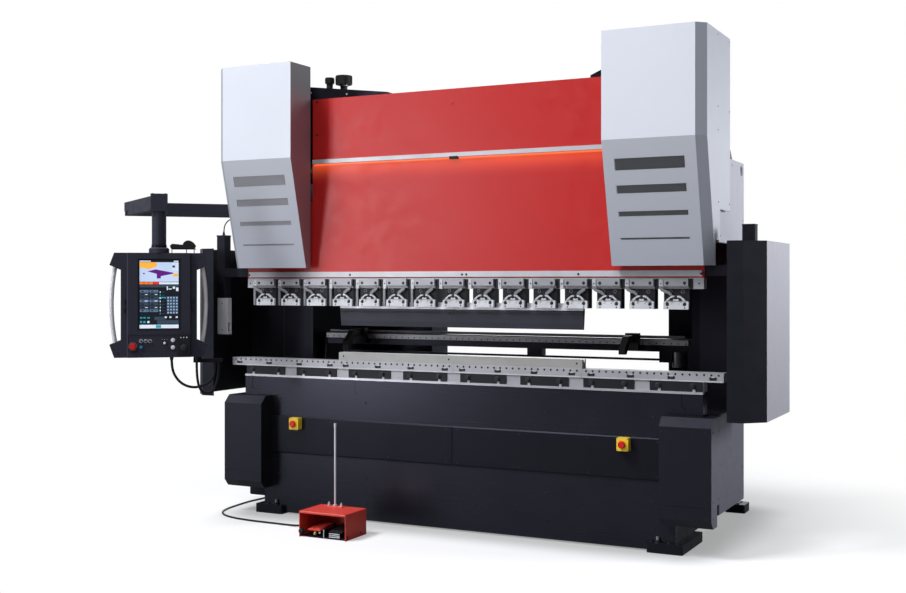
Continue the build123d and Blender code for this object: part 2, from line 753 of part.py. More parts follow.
def ram_plate():
    # One thick plate: a tall middle between the covers and two shoulders under the cylinders.
    shape = outline(
        (-RAM_HALF, RAM_BOTTOM),
        (RAM_HALF, RAM_BOTTOM),
        (RAM_HALF, RAM_SHOULDER),
        (RAM_NECK_HALF, RAM_SHOULDER),
        (RAM_NECK_HALF, RAM_TOP),
        (-RAM_NECK_HALF, RAM_TOP),
        (-RAM_NECK_HALF, RAM_SHOULDER),
        (-RAM_HALF, RAM_SHOULDER),
    )
    return along_y(shape, -RAM_T / 2, RAM_T / 2)


def ram_scale():
    y = -RAM_T / 2
    return block(-RAM_HALF + 12, RAM_HALF - 12, y - SCALE_T, y, SCALE_LOW, SCALE_LOW + SCALE_H)


def tool_rail():
    return block(
        -TOOL_RAIL_HALF,
        TOOL_RAIL_HALF,
        -TOOL_RAIL_HALF_Y,
        TOOL_RAIL_HALF_Y,
        TOOL_RAIL_BOTTOM,
        RAM_BOTTOM,
    )


def light_bar():
    # A small angle along the ram that holds the work lights.
    y = -RAM_T / 2
    profile = outline(
        (y, LIGHT_LOW),
        (y - 6, LIGHT_LOW),
        (y - LIGHT_OUT, LIGHT_LOW + 6),
        (y - LIGHT_OUT, LIGHT_LOW + LIGHT_H),
        (y, LIGHT_LOW + LIGHT_H),
    )
    return along_x(profile, -COVER_IN + 11, COVER_IN - 11)


def holder_positions():
    count = int(2 * TOOL_RAIL_HALF // HOLDER_PITCH)
    return [(i - (count - 1) / 2) * HOLDER_PITCH for i in range(count)]


def holder_body(x):
    # The black block under the tool rail, with a slot for the punch's tang.
    profile = outline(
        (-HOLDER_HALF_Y, TOOL_RAIL_BOTTOM),
        (-HOLDER_HALF_Y, HOLDER_BOTTOM),
        (HOLDER_HALF_Y, HOLDER_BOTTOM),
        (HOLDER_HALF_Y, TOOL_RAIL_BOTTOM),
    )
    half = TANG_HALF + TANG_FIT
    slot = rect(-half, half, HOLDER_BOTTOM - 1, HOLDER_BOTTOM + TANG_H + TANG_FIT)
    return along_x(profile - slot, x - HOLDER_W / 2, x + HOLDER_W / 2)


def holder_plates(x):
    # The silver upper strap on the tool rail and the lower clamping jaw with its hump.
    front = -HOLDER_HALF_Y
    strap = rect(x - 70, x + 70, TOOL_RAIL_BOTTOM + 13, RAM_BOTTOM - 5)
    strap = along_y(strap, -TOOL_RAIL_HALF_Y - 21, -TOOL_RAIL_HALF_Y)
    jaw = outline(
        (x - 72, HOLDER_BOTTOM),
        (x + 72, HOLDER_BOTTOM),
        (x + 72, HOLDER_BOTTOM + 42),
        (x + 52, HOLDER_BOTTOM + 48),
        (x + 22, HOLDER_BOTTOM + 76),
        (x - 22, HOLDER_BOTTOM + 76),
        (x - 52, HOLDER_BOTTOM + 48),
        (x - 72, HOLDER_BOTTOM + 42),
    )
    for side in (-1, 1):
        jaw -= Pos(x + side * 48, HOLDER_BOTTOM + 27) * Circle(9)
    return [strap, along_y(jaw, front - 18, front)]


def holder_lever(x, lean):
    # The clamp lever: a cranked bar in front of the block.
    front = -HOLDER_HALF_Y
    low = HOLDER_BOTTOM + 77
    high = low + 43
    bar = outline(
        (x - 9, low),
        (x + 9, low),
        (x + 9 + lean * 46, high),
        (x - 9 + lean * 46, high),
    )
    return along_y(bar, front - 22, front)


def punch():
    # A straight punch; half of the pair of equal lengths.
    profile = outline(
        (-TANG_HALF, HOLDER_BOTTOM + TANG_H),
        (TANG_HALF, HOLDER_BOTTOM + TANG_H),
        (TANG_HALF, HOLDER_BOTTOM),
        (15, HOLDER_BOTTOM),
        (15, PUNCH_SHOULDER),
        (12, PUNCH_SHOULDER - 14),
        (6, PUNCH_TIP + 32),
        (1, PUNCH_TIP),
        (-1, PUNCH_TIP),
        (-6, PUNCH_TIP + 32),
        (-12, PUNCH_SHOULDER - 14),
        (-15, PUNCH_SHOULDER),
        (-15, HOLDER_BOTTOM),
        (-TANG_HALF, HOLDER_BOTTOM),
    )
    return along_x(profile, END_GAP, TOOL_LENGTH)


def curtain_post():
    # The right light-curtain post, carried on an arm from the end of the ram.
    arm = block(RAM_HALF, POST_IN, -20, 20, POST_ARM_LOW, POST_ARM_LOW + POST_ARM_H)
    post = block(POST_IN, POST_IN + POST_W, POST_FRONT, POST_FRONT + POST_D, POST_BOTTOM, POST_TOP)
    post = chamfer(post.edges().filter_by(Axis.Z), 4)
    return arm + post


def curtain_head():
    # The silver sensor housing below the post, with a small window.
    x0 = POST_IN - 18
    head = block(x0, x0 + 85, POST_FRONT, POST_FRONT + 52, HEAD_BOTTOM, POST_BOTTOM)
    head = fillet(head.edges().filter_by(Axis.Z), 5)
    window = HEAD_BOTTOM + 23
    return head - block(x0 - 1, x0 + 20, POST_FRONT + 12, POST_FRONT + 40, window, window + 60)


def arm_bracket():
    # The bracket on the left side cover with the pin that the arm turns on.
    x, y = PIVOT
    face = -SIDE_OUT
    plate = block(face - 12, face, COVER_REAR + 8, COVER_REAR + 120, ARM_LOW - 70, ARM_HIGH + 45)
    web = outline((face - 12, y), (face - 12, y + 60), (x, y + 42), (x, y))
    lug = Pos(x, y) * Circle(42) + web
    lug = along_z(lug, ARM_LOW - 45, ARM_LOW - HINGE_GAP)
    pin = upright(x, y, 18, ARM_LOW - HINGE_GAP, ARM_HIGH - 10)
    return plate + lug + pin


def bar_between(a, b, width, z0, z1, trim_a=0.0, trim_b=0.0):
    # A straight bar from a to b, shortened at either end.
    dx = b[0] - a[0]
    dy = b[1] - a[1]
    length = math.hypot(dx, dy)
    angle = math.degrees(math.atan2(dy, dx))
    shape = Pos(a[0], a[1]) * Rot(0, 0, angle) * rect(trim_a, length - trim_b, -width / 2, width / 2)
    return along_z(shape, z0, z1)


def arm_one():
    # From the machine to the elbow, where it has the lower share of the knuckle and the pin.
    tongue_top = ELBOW_SPLIT - HINGE_GAP
    arm = bar_between(PIVOT, ELBOW, ARM_W, ARM_LOW, ARM_HIGH, 0, ELBOW_CLEAR)
    arm += upright(*PIVOT, 44, ARM_LOW, ARM_HIGH)
    arm += bar_between(PIVOT, ELBOW, ARM_W, ARM_LOW, tongue_top, ELBOW_CLEAR, -ARM_W / 2)
    arm += upright(*ELBOW, 14, tongue_top, ARM_HIGH - 12)
    return arm - upright(*PIVOT, 18 + HINGE_GAP, ARM_LOW - 1, ARM_HIGH - 10 + HINGE_GAP)


def arm_two():
    # From the elbow to the panel, ending in a block with the pole below it.
    arm = bar_between(ELBOW, PANEL_AXIS, ARM_W, ARM_LOW, ARM_HIGH, ELBOW_CLEAR, 0)
    arm += bar_between(ELBOW, PANEL_AXIS, ARM_W, ELBOW_SPLIT, ARM_HIGH, -ARM_W / 2, ELBOW_CLEAR)
    arm -= upright(*ELBOW, 14 + HINGE_GAP, ELBOW_SPLIT - 1, ARM_HIGH - 12 + HINGE_GAP)
    end = Pos(PANEL_AXIS[0], PANEL_AXIS[1]) * Rot(0, 0, PANEL_TURN) * fillet(Rectangle(104, 96).vertices(), 5)
    arm += along_z(end, ARM_LOW - 12, ARM_HIGH + 7)
    arm += upright(*PANEL_AXIS, POLE_R, PANEL_TOP + COLLAR_H + HINGE_GAP, ARM_LOW - 12)
    return arm


def placed_panel(shape):
    # From the panel's own axes (X across, -Y towards the operator) to its place on the pole.
    return Pos(PANEL_AXIS[0], PANEL_AXIS[1]) * Rot(0, 0, PANEL_TURN) * shape


def panel_housing():
    # The housing: wide wing corners above and below, a narrower waist, a raised middle.
    top_half = 268.0
    wing_half = 296.0
    waist_half = 229.0
    body_half = 193.0
    z0 = PANEL_BOTTOM
    z1 = PANEL_TOP
    right = [
        (top_half, z0),
        (wing_half, z0 + 80),
        (waist_half, z0 + 108),
        (waist_half, z1 - 106),
        (wing_half, z1 - 76),
        (top_half, z1),
    ]
    left = [(-x, z) for x, z in reversed(right)]
    shape = outline(*right, *left)
    front = -PANEL_DEPTH / 2
    housing = along_y(shape, front, PANEL_DEPTH / 2)
    raised = along_y(rect(-body_half, body_half, z0, z1), front - 18, front)
    housing += chamfer(raised.edges().filter_by(Axis.Z).group_by(Axis.Y)[0], 8)
    screen_pocket = block(-124, 124, front - 19, front - 8, 1236, 1666)
    strip_pocket = block(-186, 102, front - 19, front - 15, 1095, 1202)
    housing = housing - screen_pocket - strip_pocket
    collar = upright(0, 0, COLLAR_R, z1, z1 + COLLAR_H)
    collar = chamfer(collar.edges().group_by(Axis.Z)[-1], 10)
    return placed_panel(housing + collar)


def panel_screen():
    # The upright display, sunk into the housing.
    front = -PANEL_DEPTH / 2
    return placed_panel(block(-124, 124, front - 14, front - 8, 1236, 1666))


def panel_handles():
    # Two bowed grips between the wing corners.
    handles = []
    housing = panel_housing()
    z_low = PANEL_BOTTOM + 80
    z_high = PANEL_TOP - 76
    for side in (-1, 1):
        path = ThreePointArc(
            (side * 262, 0, z_low + 12),
            (side * 284, 0, (z_low + z_high) / 2),
            (side * 262, 0, z_high - 10),
        )
        section = Plane(origin=path @ 0, z_dir=path % 0) * Circle(13)
        grip = sweep(section, path=path)
        handles.append(placed_panel(grip) - housing)
    return handles


def panel_controls():
    # The handwheel box and the larger buttons on the lower strip.
    front = -PANEL_DEPTH / 2
    box = block(106, 184, front - 42, front - 18, 1078, 1204)
    box = fillet(box.edges().filter_by(Axis.Y), 6)
    wheel = along_y(Pos(148, 1122) * Circle(22), front - 60, front - 42)
    stop = along_y(Pos(-157, 1130) * Circle(22), front - 44, front - 15)
    return [placed_panel(box + wheel), placed_panel(stop)]


def panel_shelf():
    # A low wire shelf on the right of the housing's top: three legs, two rails and five cross wires.
    half = SHELF_WIRE / 2
    low = PANEL_TOP
    high = PANEL_TOP + SHELF_H
    depth = 26.0
    shelf = block(SHELF_LEFT, SHELF_RIGHT, -depth - half, -depth + half, high - SHELF_WIRE, high)
    shelf += block(SHELF_LEFT, SHELF_RIGHT, depth - half, depth + half, high - SHELF_WIRE, high)
    count = 5
    for i in range(count):
        x = SHELF_LEFT + half + i * (SHELF_RIGHT - SHELF_LEFT - SHELF_WIRE) / (count - 1)
        shelf += block(x - half, x + half, -depth, depth, high - SHELF_WIRE, high)
    for x, y in ((SHELF_LEFT + half, -depth), (SHELF_LEFT + 92, depth), (SHELF_RIGHT - 12, -depth)):
        shelf += block(x - half, x + half, y - half, y + half, low, high)
    return placed_panel(shelf)


def hand_unit():
    # A hand unit that lies on the shelf: a flat grip on the left, a domed head on the right.
    low = PANEL_TOP + SHELF_H
    left = SHELF_LEFT - 10
    right = SHELF_RIGHT
    neck = left + 78
    profile = make_face(
        Polyline((neck, low + 24), (left + 14, low + 30), (left, low + 18), (left + 6, low), (right - 8, low))
        + Polyline((right - 8, low), (right, low + 14))
        + Spline(
            (right, low + 14),
            (right - 22, low + 42),
            (right - 52, low + 51),
            (neck + 12, low + 44),
            (neck, low + 24),
        )
    )
    return placed_panel(along_y(profile, -24, 24))


def cable_clip():
    # The clip at the panel's lower rear corner that takes the loops' far ends.
    back = PANEL_DEPTH / 2
    plate = block(210, 392, back, back + 34, 1020, 1044)
    plate += block(210, 262, back, back + 12, 1044, 1130)
    return placed_panel(plate)


def pedal_hood():
    # A folded sheet hood, open in front and below.
    t = PEDAL_SHEET
    hood = block(PEDAL_LEFT, PEDAL_RIGHT, PEDAL_FRONT, PEDAL_REAR, 0, PEDAL_TOP)
    hood = fillet(hood.edges().filter_by(Axis.Y).group_by(Axis.Z)[-1], 5)
    hood -= block(PEDAL_LEFT + t, PEDAL_RIGHT - t, PEDAL_FRONT - 1, PEDAL_REAR - t, -1, PEDAL_TOP - t)
    return hood


def pedal_base():
    # The floor plate with a hinge block behind each pedal and a divider between them.
    t = PEDAL_SHEET
    plate = block(PEDAL_LEFT + t, PEDAL_RIGHT - t, PEDAL_FRONT + 15, PEDAL_REAR - t, 0, 4)
    middle = (PEDAL_LEFT + PEDAL_RIGHT) / 2
    divider = block(middle - 2, middle + 2, PEDAL_FRONT + 20, PEDAL_REAR - t - 20, 4, 50)
    base = plate + divider
    for x in pedal_centres():
        ear = outline(
            (HINGE_Y - 20, 4),
            (HINGE_Y + 20, 4),
            (HINGE_Y + 12, HINGE_Z + 12),
            (HINGE_Y - 12, HINGE_Z + 12),
        )
        for side in (-1, 1):
            base += along_x(ear, x + side * 50 - 3, x + side * 50 + 3)
        base += along_x(Pos(HINGE_Y, HINGE_Z) * Circle(HINGE_R), x - 50, x + 50)
    return base


def pedal_centres():
    middle = (PEDAL_LEFT + PEDAL_RIGHT) / 2
    return (middle - 76, middle + 76)


def foot_pedal(x):
    # A treadle on the hinge pin, sloping down to the front.
    toe = PEDAL_FRONT + 30
    plate = outline(
        (HINGE_Y + 12, HINGE_Z + 8),
        (HINGE_Y - 13, HINGE_Z + 12),
        (toe, HINGE_Z - 6),
        (toe, HINGE_Z - 12),
        (HINGE_Y - 13, HINGE_Z + 2),
        (HINGE_Y + 12, HINGE_Z),
    )
    pedal = along_x(plate, x - 44, x + 44)
    pedal += along_x(Pos(HINGE_Y, HINGE_Z) * Circle(2 * HINGE_R), x - 44, x + 44)
    return pedal - along_x(Pos(HINGE_Y, HINGE_Z) * Circle(HINGE_R + HINGE_GAP), x - 45, x + 45)


def pedal_rod():
    # The carrying rod that stands on the hood, with a flange and a cap.
    x = (PEDAL_LEFT + PEDAL_RIGHT) / 2 - 35.5
    y = PEDAL_REAR - 37
    rod = upright(x, y, 6, PEDAL_TOP + 4, 655)
    rod += upright(x, y, 8, 640, 664)
    rod += block(x - 60, x + 60, y - 24, y + 24, PEDAL_TOP, PEDAL_TOP + 4)
    return rod


def rounded_path(points):
    # Straight runs joined by tangent arcs as large as the two runs at each corner allow.
    vectors = [Vector(*p) for p in points]
    radii = []
    for i in range(1, len(vectors) - 1):
        before = vectors[i] - vectors[i - 1]
        after = vectors[i + 1] - vectors[i]
        turn = before.get_angle(after)
        shorter = min(before.length, after.length)
        radii.append(0.45 * shorter / math.tan(math.radians(turn / 2)))
    print("cord radii", [round(r) for r in radii])
    return FilletPolyline(*points, radius=radii)


def tube(points, r):
    path = rounded_path(points)
    section = Plane(origin=path @ 0, z_dir=path % 0) * Circle(r)
    cord = sweep(section, path=path)
    print("cord length", round(path.length), "volume share", round(cord.volume / (path.length * math.pi * r * r), 4))
    return cord


# The pedal cable's route over the floor, from the hood round the left foot to the side cover.
PEDAL_CABLE = [
    (-779, -398, 24),
    (-838, -398, 24),
    (-915, -391, 9),
    (-1020, -380, 6.3),
    (-1150, -377, 6.3),
    (-1290, -372, 6.3),
    (-1424, -352, 6.3),
    (-1545, -303, 6.3),
    (-1630, -215, 6.3),
    (-1668, -100, 6.3),
    (-1682, 30, 6.3),
    (-1694, 160, 6.3),
    (-1682, 300, 6.3),
    (-1672, 430, 6.3),
    (-1640, 545, 6.3),
    (-1580, 628, 6.3),
    (-1522, 672, 40),
    (-1490, 692, 105),
    (-1490, 692, 165),
]

# The two loops below the panel, in the panel's own axes.
LOOP_ONE = [
    (76, 0, 1061),
    (76, 0, 1005),
    (92, 4, 945),
    (138, 12, 888),
    (210, 24, 862),
    (285, 36, 878),
    (334, 47, 922),
    (342, 50, 970),
    (342, 50, 1020),
]
LOOP_TWO = [
    (228, -12, 1061),
    (228, -12, 1000),
    (231, -10, 930),
    (243, -2, 864),
    (278, 18, 822),
    (326, 42, 832),
    (356, 56, 888),
    (367, 62, 955),
    (367, 62, 1020),
]

# The cable that leaves the top of the left post and goes in behind the cover to the ram's end.
SENSOR_CABLE = [
    (-1798, 25, 1845),
    (-1798, 25, 1890),
    (-1790, 34, 1930),
    (-1758, 50, 1960),
    (-1712, 70, 1964),
    (-1668, 88, 1938),
    (-1636, 94, 1904),
    (-1616, 78, 1884),
    (-1610, 44, 1876),
    (-1597, 8, 1875),
    (-1557, 8, 1875),
]


def glands():
    # The pedal hood's gland and the one below the left side cover.
    x, y, z = PEDAL_CABLE[0]
    near = Plane(origin=(PEDAL_LEFT, y, z), z_dir=(-1, 0, 0))
    hood_gland = extrude(near * Circle(13), 14) + extrude(near * Circle(9), PEDAL_LEFT - x)
    x, y, z = PEDAL_CABLE[-1]
    far = Plane(origin=(x, y, SIDE_BOTTOM), z_dir=(0, 0, -1))
    cover_gland = extrude(far * Circle(14), 16) + extrude(far * Circle(9), SIDE_BOTTOM - z)
    return [hood_gland, cover_gland]


def write(name, *shapes):
    # One node: its solids, moved so that the origin lies at the anchor holes.
    solids = []
    for shape in shapes:
        solids += shape.solids()
    placed = [Pos(0, BEND_LINE, 0) * solid for solid in solids]
    node = placed[0] if len(placed) == 1 else Compound(children=placed)
    export_step(node, "parts/" + name + ".step")
    print(name, len(placed), round(sum(s.volume for s in placed) / 1e6, 2))


def build():
    os.makedirs("parts", exist_ok=True)
    write("side_frames", *both_sides(side_frame()))
    write("feet", *feet())
    write("bed_front_plate", bed_front_plate())
    write("table_plate", table_plate())
    write("bed_rear_plate", bed_rear_plate())
    write("bed_cover_panels", *bed_cover_panels())
    write("wedge_bar", wedge_bar())
    write("wedge_clamps", *wedge_clamps())
    write("die_rails", *die_rails())
    write("dies", *dies())
    write("front_boxes", *both_sides(front_box()))
    write("cable_duct", cable_duct())
    write("side_covers", *both_sides(side_cover()))
    write("cylinder_covers", *both_sides(cylinder_cover()))
    write("cylinders", *both_sides(cylinder()), *both_sides(cylinder_mount()))
    write("tie_beams", *tie_beams())
    write("oil_tank", oil_tank())
    write("tank_caps", *tank_caps())
    write("rear_cabinets", *rear_cabinets())
    write("guard_fronts", *both_sides(guard_front()))
    write("guard_sides", *both_sides(guard_side()))
    write("brackets", *guard_brackets(), arm_bracket())
    write("estop_boxes", estop_box(-STOP_LEFT), estop_box(STOP_RIGHT))
    write("left_estop_button", estop_button(-STOP_LEFT))
    write("right_estop_button", estop_button(STOP_RIGHT))
    write("slideways", *slideways())
    write("gauge_beam", gauge_beam())
    write("gauge_track", gauge_track())
    write("gauge_drive", gauge_drive())
    write("left_gauge_finger", gauge_finger(-FRAME_IN + 344))
    write("right_gauge_finger", gauge_finger(FRAME_IN - 397))
    write("ram_plate", ram_plate())
    write("ram_scale", ram_scale())
    write("tool_rail", tool_rail())
    write("light_bar", light_bar())
    write("holder_bodies", *[holder_body(x) for x in holder_positions()])
    plates = []
    levers = []
    for x in holder_positions():
        plates += holder_plates(x)
        lean = 1 if abs(x) < 900 else -1
        levers.append(holder_lever(x, lean))
    write("holder_plates", *plates)
    write("holder_levers", *levers)
    write("punches", *both_sides(punch()))
    write("curtain_posts", *both_sides(curtain_post()))
    write("curtain_heads", *both_sides(curtain_head()))
    write("piston_rods", *both_sides(piston_rod()))
    write("sensor_cable", tube(SENSOR_CABLE, SENSOR_R))
    write("arm_one", arm_one())
    write("arm_two", arm_two())
    write("panel_housing", panel_housing())
    write("panel_screen", panel_screen())
    write("panel_handles", *panel_handles())
    write("panel_controls", *panel_controls())
    write("cable_clip", cable_clip())
    write("panel_shelf", panel_shelf())
    write("hand_unit", hand_unit())
    write("panel_cables", *[placed_panel(tube(points, LOOP_R)) for points in (LOOP_ONE, LOOP_TWO)])
    write("pedal_hood", pedal_hood())
    write("pedal_base", pedal_base())
    stop_x, run_x = pedal_centres()
    write("stop_pedal", foot_pedal(stop_x))
    write("run_pedal", foot_pedal(run_x))
    write("pedal_rod", pedal_rod())
    write("pedal_cable", tube(PEDAL_CABLE, CABLE_R))
    write("cable_glands", *glands())


build()
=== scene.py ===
import math

import bmesh
import bpy
from mathutils import Matrix, Vector


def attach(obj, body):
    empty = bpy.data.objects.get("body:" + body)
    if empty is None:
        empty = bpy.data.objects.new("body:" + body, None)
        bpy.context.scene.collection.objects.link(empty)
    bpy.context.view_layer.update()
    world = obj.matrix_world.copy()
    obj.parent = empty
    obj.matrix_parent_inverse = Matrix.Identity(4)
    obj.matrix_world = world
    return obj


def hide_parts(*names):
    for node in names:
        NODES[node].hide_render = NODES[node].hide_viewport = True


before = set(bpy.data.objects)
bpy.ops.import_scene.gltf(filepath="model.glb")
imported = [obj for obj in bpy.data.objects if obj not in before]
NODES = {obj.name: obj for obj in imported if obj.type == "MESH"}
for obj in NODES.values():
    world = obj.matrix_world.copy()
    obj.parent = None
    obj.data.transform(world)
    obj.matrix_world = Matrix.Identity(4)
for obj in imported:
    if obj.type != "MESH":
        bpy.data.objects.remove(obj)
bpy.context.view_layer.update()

# The source draws the press brake in millimetres with Y = 0 at the bending line.
MM = 0.001
BEND_LINE = -0.660

PANEL_AXIS = (-1668.0, -794.0)
PANEL_TURN = math.radians(40.5)


def at(x, y, z):
    """A point of the drawing, in metres in the frame."""
    return Vector((x * MM, y * MM + BEND_LINE, z * MM))


def on_panel(u, v, z):
    """A point in the panel's own axes: u across, v back from the operator."""
    c, s = math.cos(PANEL_TURN), math.sin(PANEL_TURN)
    return at(PANEL_AXIS[0] + u * c - v * s, PANEL_AXIS[1] + u * s + v * c, z)


def placed(name, data):
    """An object in the scene that shows the data."""
    thing = bpy.data.objects.new(name, data)
    bpy.context.scene.collection.objects.link(thing)
    return thing


CAMERA_PLACE = (3337.0, -6679.0, 1525.0)
CAMERA_YAW = 26.722
CAMERA_LENS = 48.06
HORIZON_SHIFT = -0.0158


def photo_camera():
    """A level camera at the photograph's place, with its horizon a little above the middle."""
    data = bpy.data.cameras.new("photo_camera")
    data.sensor_width = 36.0
    data.lens = CAMERA_LENS
    data.shift_y = HORIZON_SHIFT
    data.clip_start = 0.05
    data.clip_end = 200.0
    camera = placed("photo_camera", data)
    camera.location = at(*CAMERA_PLACE)
    camera.rotation_euler = (math.radians(90), 0, math.radians(CAMERA_YAW))
    bpy.context.scene.camera = camera


photo_camera()


def cord_curve(name, points, radius):
    """A round cord on one smooth line through the space that its route's runs hold."""
    data = bpy.data.curves.new(name, "CURVE")
    data.dimensions = "3D"
    data.bevel_depth = 1.0
    data.bevel_resolution = 5
    data.resolution_u = 14
    data.use_fill_caps = True
    spline = data.splines.new("NURBS")
    spline.points.add(len(points) - 1)
    for point, place in zip(spline.points, points):
        point.co = (*place, 1.0)
        point.radius = radius
    spline.order_u = 3
    spline.use_endpoint_u = True
    return placed(name, data)


PEDAL_ROUTE = [at(*point) for point in (
    (-779, -398, 24), (-838, -398, 24), (-915, -391, 9), (-1020, -380, 6.3), (-1150, -377, 6.3),
    (-1290, -372, 6.3), (-1424, -352, 6.3), (-1545, -303, 6.3), (-1630, -215, 6.3),
    (-1668, -100, 6.3), (-1682, 30, 6.3), (-1694, 160, 6.3), (-1682, 300, 6.3), (-1672, 430, 6.3),
    (-1640, 545, 6.3), (-1580, 628, 6.3), (-1522, 672, 40), (-1490, 692, 105), (-1490, 692, 165),
)]
LOOP_ONE = [on_panel(*point) for point in (
    (76, 0, 1061), (76, 0, 1005), (92, 4, 945), (138, 12, 888), (210, 24, 862), (285, 36, 878),
    (334, 47, 922), (342, 50, 970), (342, 50, 1020),
)]
LOOP_TWO = [on_panel(*point) for point in (
    (228, -12, 1061), (228, -12, 1000), (231, -10, 930), (243, -2, 864), (278, 18, 822),
    (326, 42, 832), (356, 56, 888), (367, 62, 955), (367, 62, 1020),
)]
SENSOR_ROUTE = [at(*point) for point in (
    (-1798, 25, 1845), (-1798, 25, 1890), (-1790, 34, 1930), (-1758, 50, 1960), (-1712, 70, 1964),
    (-1668, 88, 1938), (-1636, 94, 1904), (-1616, 78, 1884), (-1610, 44, 1876), (-1597, 8, 1875),
    (-1557, 8, 1875),
)]

pedal_cord = cord_curve("pedal_cord", PEDAL_ROUTE, 0.006)
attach(pedal_cord, "machine")
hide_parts("pedal_cable")

sensor_cord = cord_curve("sensor_cord", SENSOR_ROUTE, 0.004)
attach(sensor_cord, "ram")
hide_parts("sensor_cable")

loops = []
for loop_name, route, loop_length in (("inner_loop", LOOP_ONE, 0.505), ("outer_loop", LOOP_TWO, 0.500)):
    loop = cord_curve(loop_name, route, 0.008)
    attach(loop, "panel")
    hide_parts("panel_cables")
    loops.append(loop)


def feed(tree, socket, source):
    """Link a socket to a node's output, or fill it with a value."""
    if isinstance(source, bpy.types.Node):
        source = source.outputs[0]
    if isinstance(source, bpy.types.NodeSocket):
        tree.links.new(source, socket)
    elif isinstance(source, tuple) and len(source) < len(socket.default_value):
        socket.default_value = (*source, 1.0)
    elif source is not None:
        socket.default_value = source


def grown(tree, kind, *sources, operation=None, interpolation=None):
    """A shader node with its first inputs linked or filled, in order."""
    node = tree.nodes.new("ShaderNode" + kind)
    if operation:
        node.operation = operation
    if interpolation:
        node.interpolation_type = interpolation
    for socket, source in zip(node.inputs, sources):
        feed(tree, socket, source)
    return node


class Finish:
    """One procedural material: a principled shader with helpers that read Object coordinates."""

    def __init__(self, name, colour, rough, metal=0.0, specular=0.5):
        self.material = bpy.data.materials.new(name)
        self.material.use_nodes = True
        self.tree = self.material.node_tree
        self.tree.nodes.clear()
        self.shader = grown(self.tree, "BsdfPrincipled")
        grown(self.tree, "OutputMaterial", self.shader)
        self.place = grown(self.tree, "TexCoord").outputs["Object"]
        self.put("Base Color", colour)
        self.put("Roughness", rough)
        self.put("Metallic", metal)
        self.put("Specular IOR Level", specular)

    def put(self, socket, value):
        feed(self.tree, self.shader.inputs[socket], value)

    def height(self):
        return self.axis_of(self.place, 2)

    def stretched(self, scale):
        return grown(self.tree, "Mapping", self.place, None, None, scale).outputs[0]

    def noise(self, scale, detail=3.0, roughness=0.5, vector=None):
        return grown(self.tree, "TexNoise", vector or self.place, None, scale, detail, roughness).outputs[0]

    def ranged(self, value, low, high, to_low=0.0, to_high=1.0):
        return grown(self.tree, "MapRange", value, low, high, to_low, to_high).outputs[0]

    def cloud(self, scale, detail=4.0):
        """A slow change between nought and one."""
        return self.ranged(self.noise(scale, detail=detail), 0.3, 0.7)

    def varied(self, share, colour, low, high):
        return self.blended(share, shaded(colour, low), shaded(colour, high))

    def blended(self, share, first, second):
        node = self.tree.nodes.new("ShaderNodeMix")
        node.data_type = "RGBA"
        for index, value in ((0, share), (6, first), (7, second)):
            feed(self.tree, node.inputs[index], value)
        return node.outputs[2]

    def combined(self, operation, first, second):
        return grown(self.tree, "Math", first, second, operation=operation).outputs[0]

    def times(self, first, second):
        return self.combined("MULTIPLY", first, second)

    def axis_of(self, vector, axis):
        return grown(self.tree, "SeparateXYZ", vector).outputs[axis]

    def beyond(self, axis, level):
        """One where a coordinate lies past a level, in metres, and nought elsewhere."""
        return self.combined("GREATER_THAN", self.axis_of(self.place, axis), level)

    def normal(self, axis):
        return self.axis_of(grown(self.tree, "TexCoord").outputs["Normal"], axis)

    def facing_out(self, level=0.6):
        """One where a face looks away from the machine's middle, and nought where it looks inwards."""
        side = self.times(self.normal(0), self.axis_of(self.place, 0))
        return self.combined("GREATER_THAN", side, level)

    def smear(self, low, high):
        """Roughness that changes a little, as where paint was wiped."""
        self.put("Roughness", self.ranged(self.noise(14.0, 5.0, 0.65), 0.3, 0.75, low, high))

    def bump(self, height, strength, distance):
        self.put("Normal", grown(self.tree, "Bump", strength, distance, None, height))


def shaded(colour, factor):
    return tuple(min(1.0, c * factor) for c in colour)


def paint(name, colour, rough, peel=0.25, grain=420.0, mottle=0.06, specular=0.5):
    """Sprayed paint: orange peel, slow changes of tone and a little dust in its gloss."""
    finish = Finish(name, colour, rough, specular=specular)
    finish.put("Base Color", finish.varied(finish.cloud(1.7), colour, 1.0 - mottle, 1.0 + mottle))
    finish.smear(rough * 0.85, min(1.0, rough * 1.25))
    finish.bump(finish.noise(grain, detail=2.0), peel, 0.0004)
    return finish


LINES_ACROSS = (1.5, 320.0, 320.0)


def ground_steel(name, colour, rough, along=LINES_ACROSS, specular=0.5, metal=1.0):
    """Ground or drawn steel with fine lines along one axis."""
    finish = Finish(name, colour, rough, metal=metal, specular=specular)
    lines = finish.noise(1.0, detail=6.0, roughness=0.7, vector=finish.stretched(along))
    finish.put("Base Color", finish.varied(finish.cloud(5.0, 5.0), colour, 0.86, 1.08))
    finish.put("Roughness", finish.ranged(lines, 0.25, 0.75, rough * 0.7, min(1.0, rough * 1.35)))
    finish.bump(lines, 0.18, 0.0003)
    return finish


def moulded(name, colour, rough, grain=900.0, depth=0.3):
    """Moulded plastic or rubber with a fine stipple."""
    finish = Finish(name, colour, rough, specular=0.3)
    finish.put("Base Color", finish.varied(finish.cloud(9.0), colour, 0.85, 1.2))
    finish.bump(finish.noise(grain, detail=2.0), depth, 0.0003)
    return finish


BLACK_COAT = (0.008, 0.008, 0.011)
SILVER_COAT = (0.68, 0.70, 0.765)


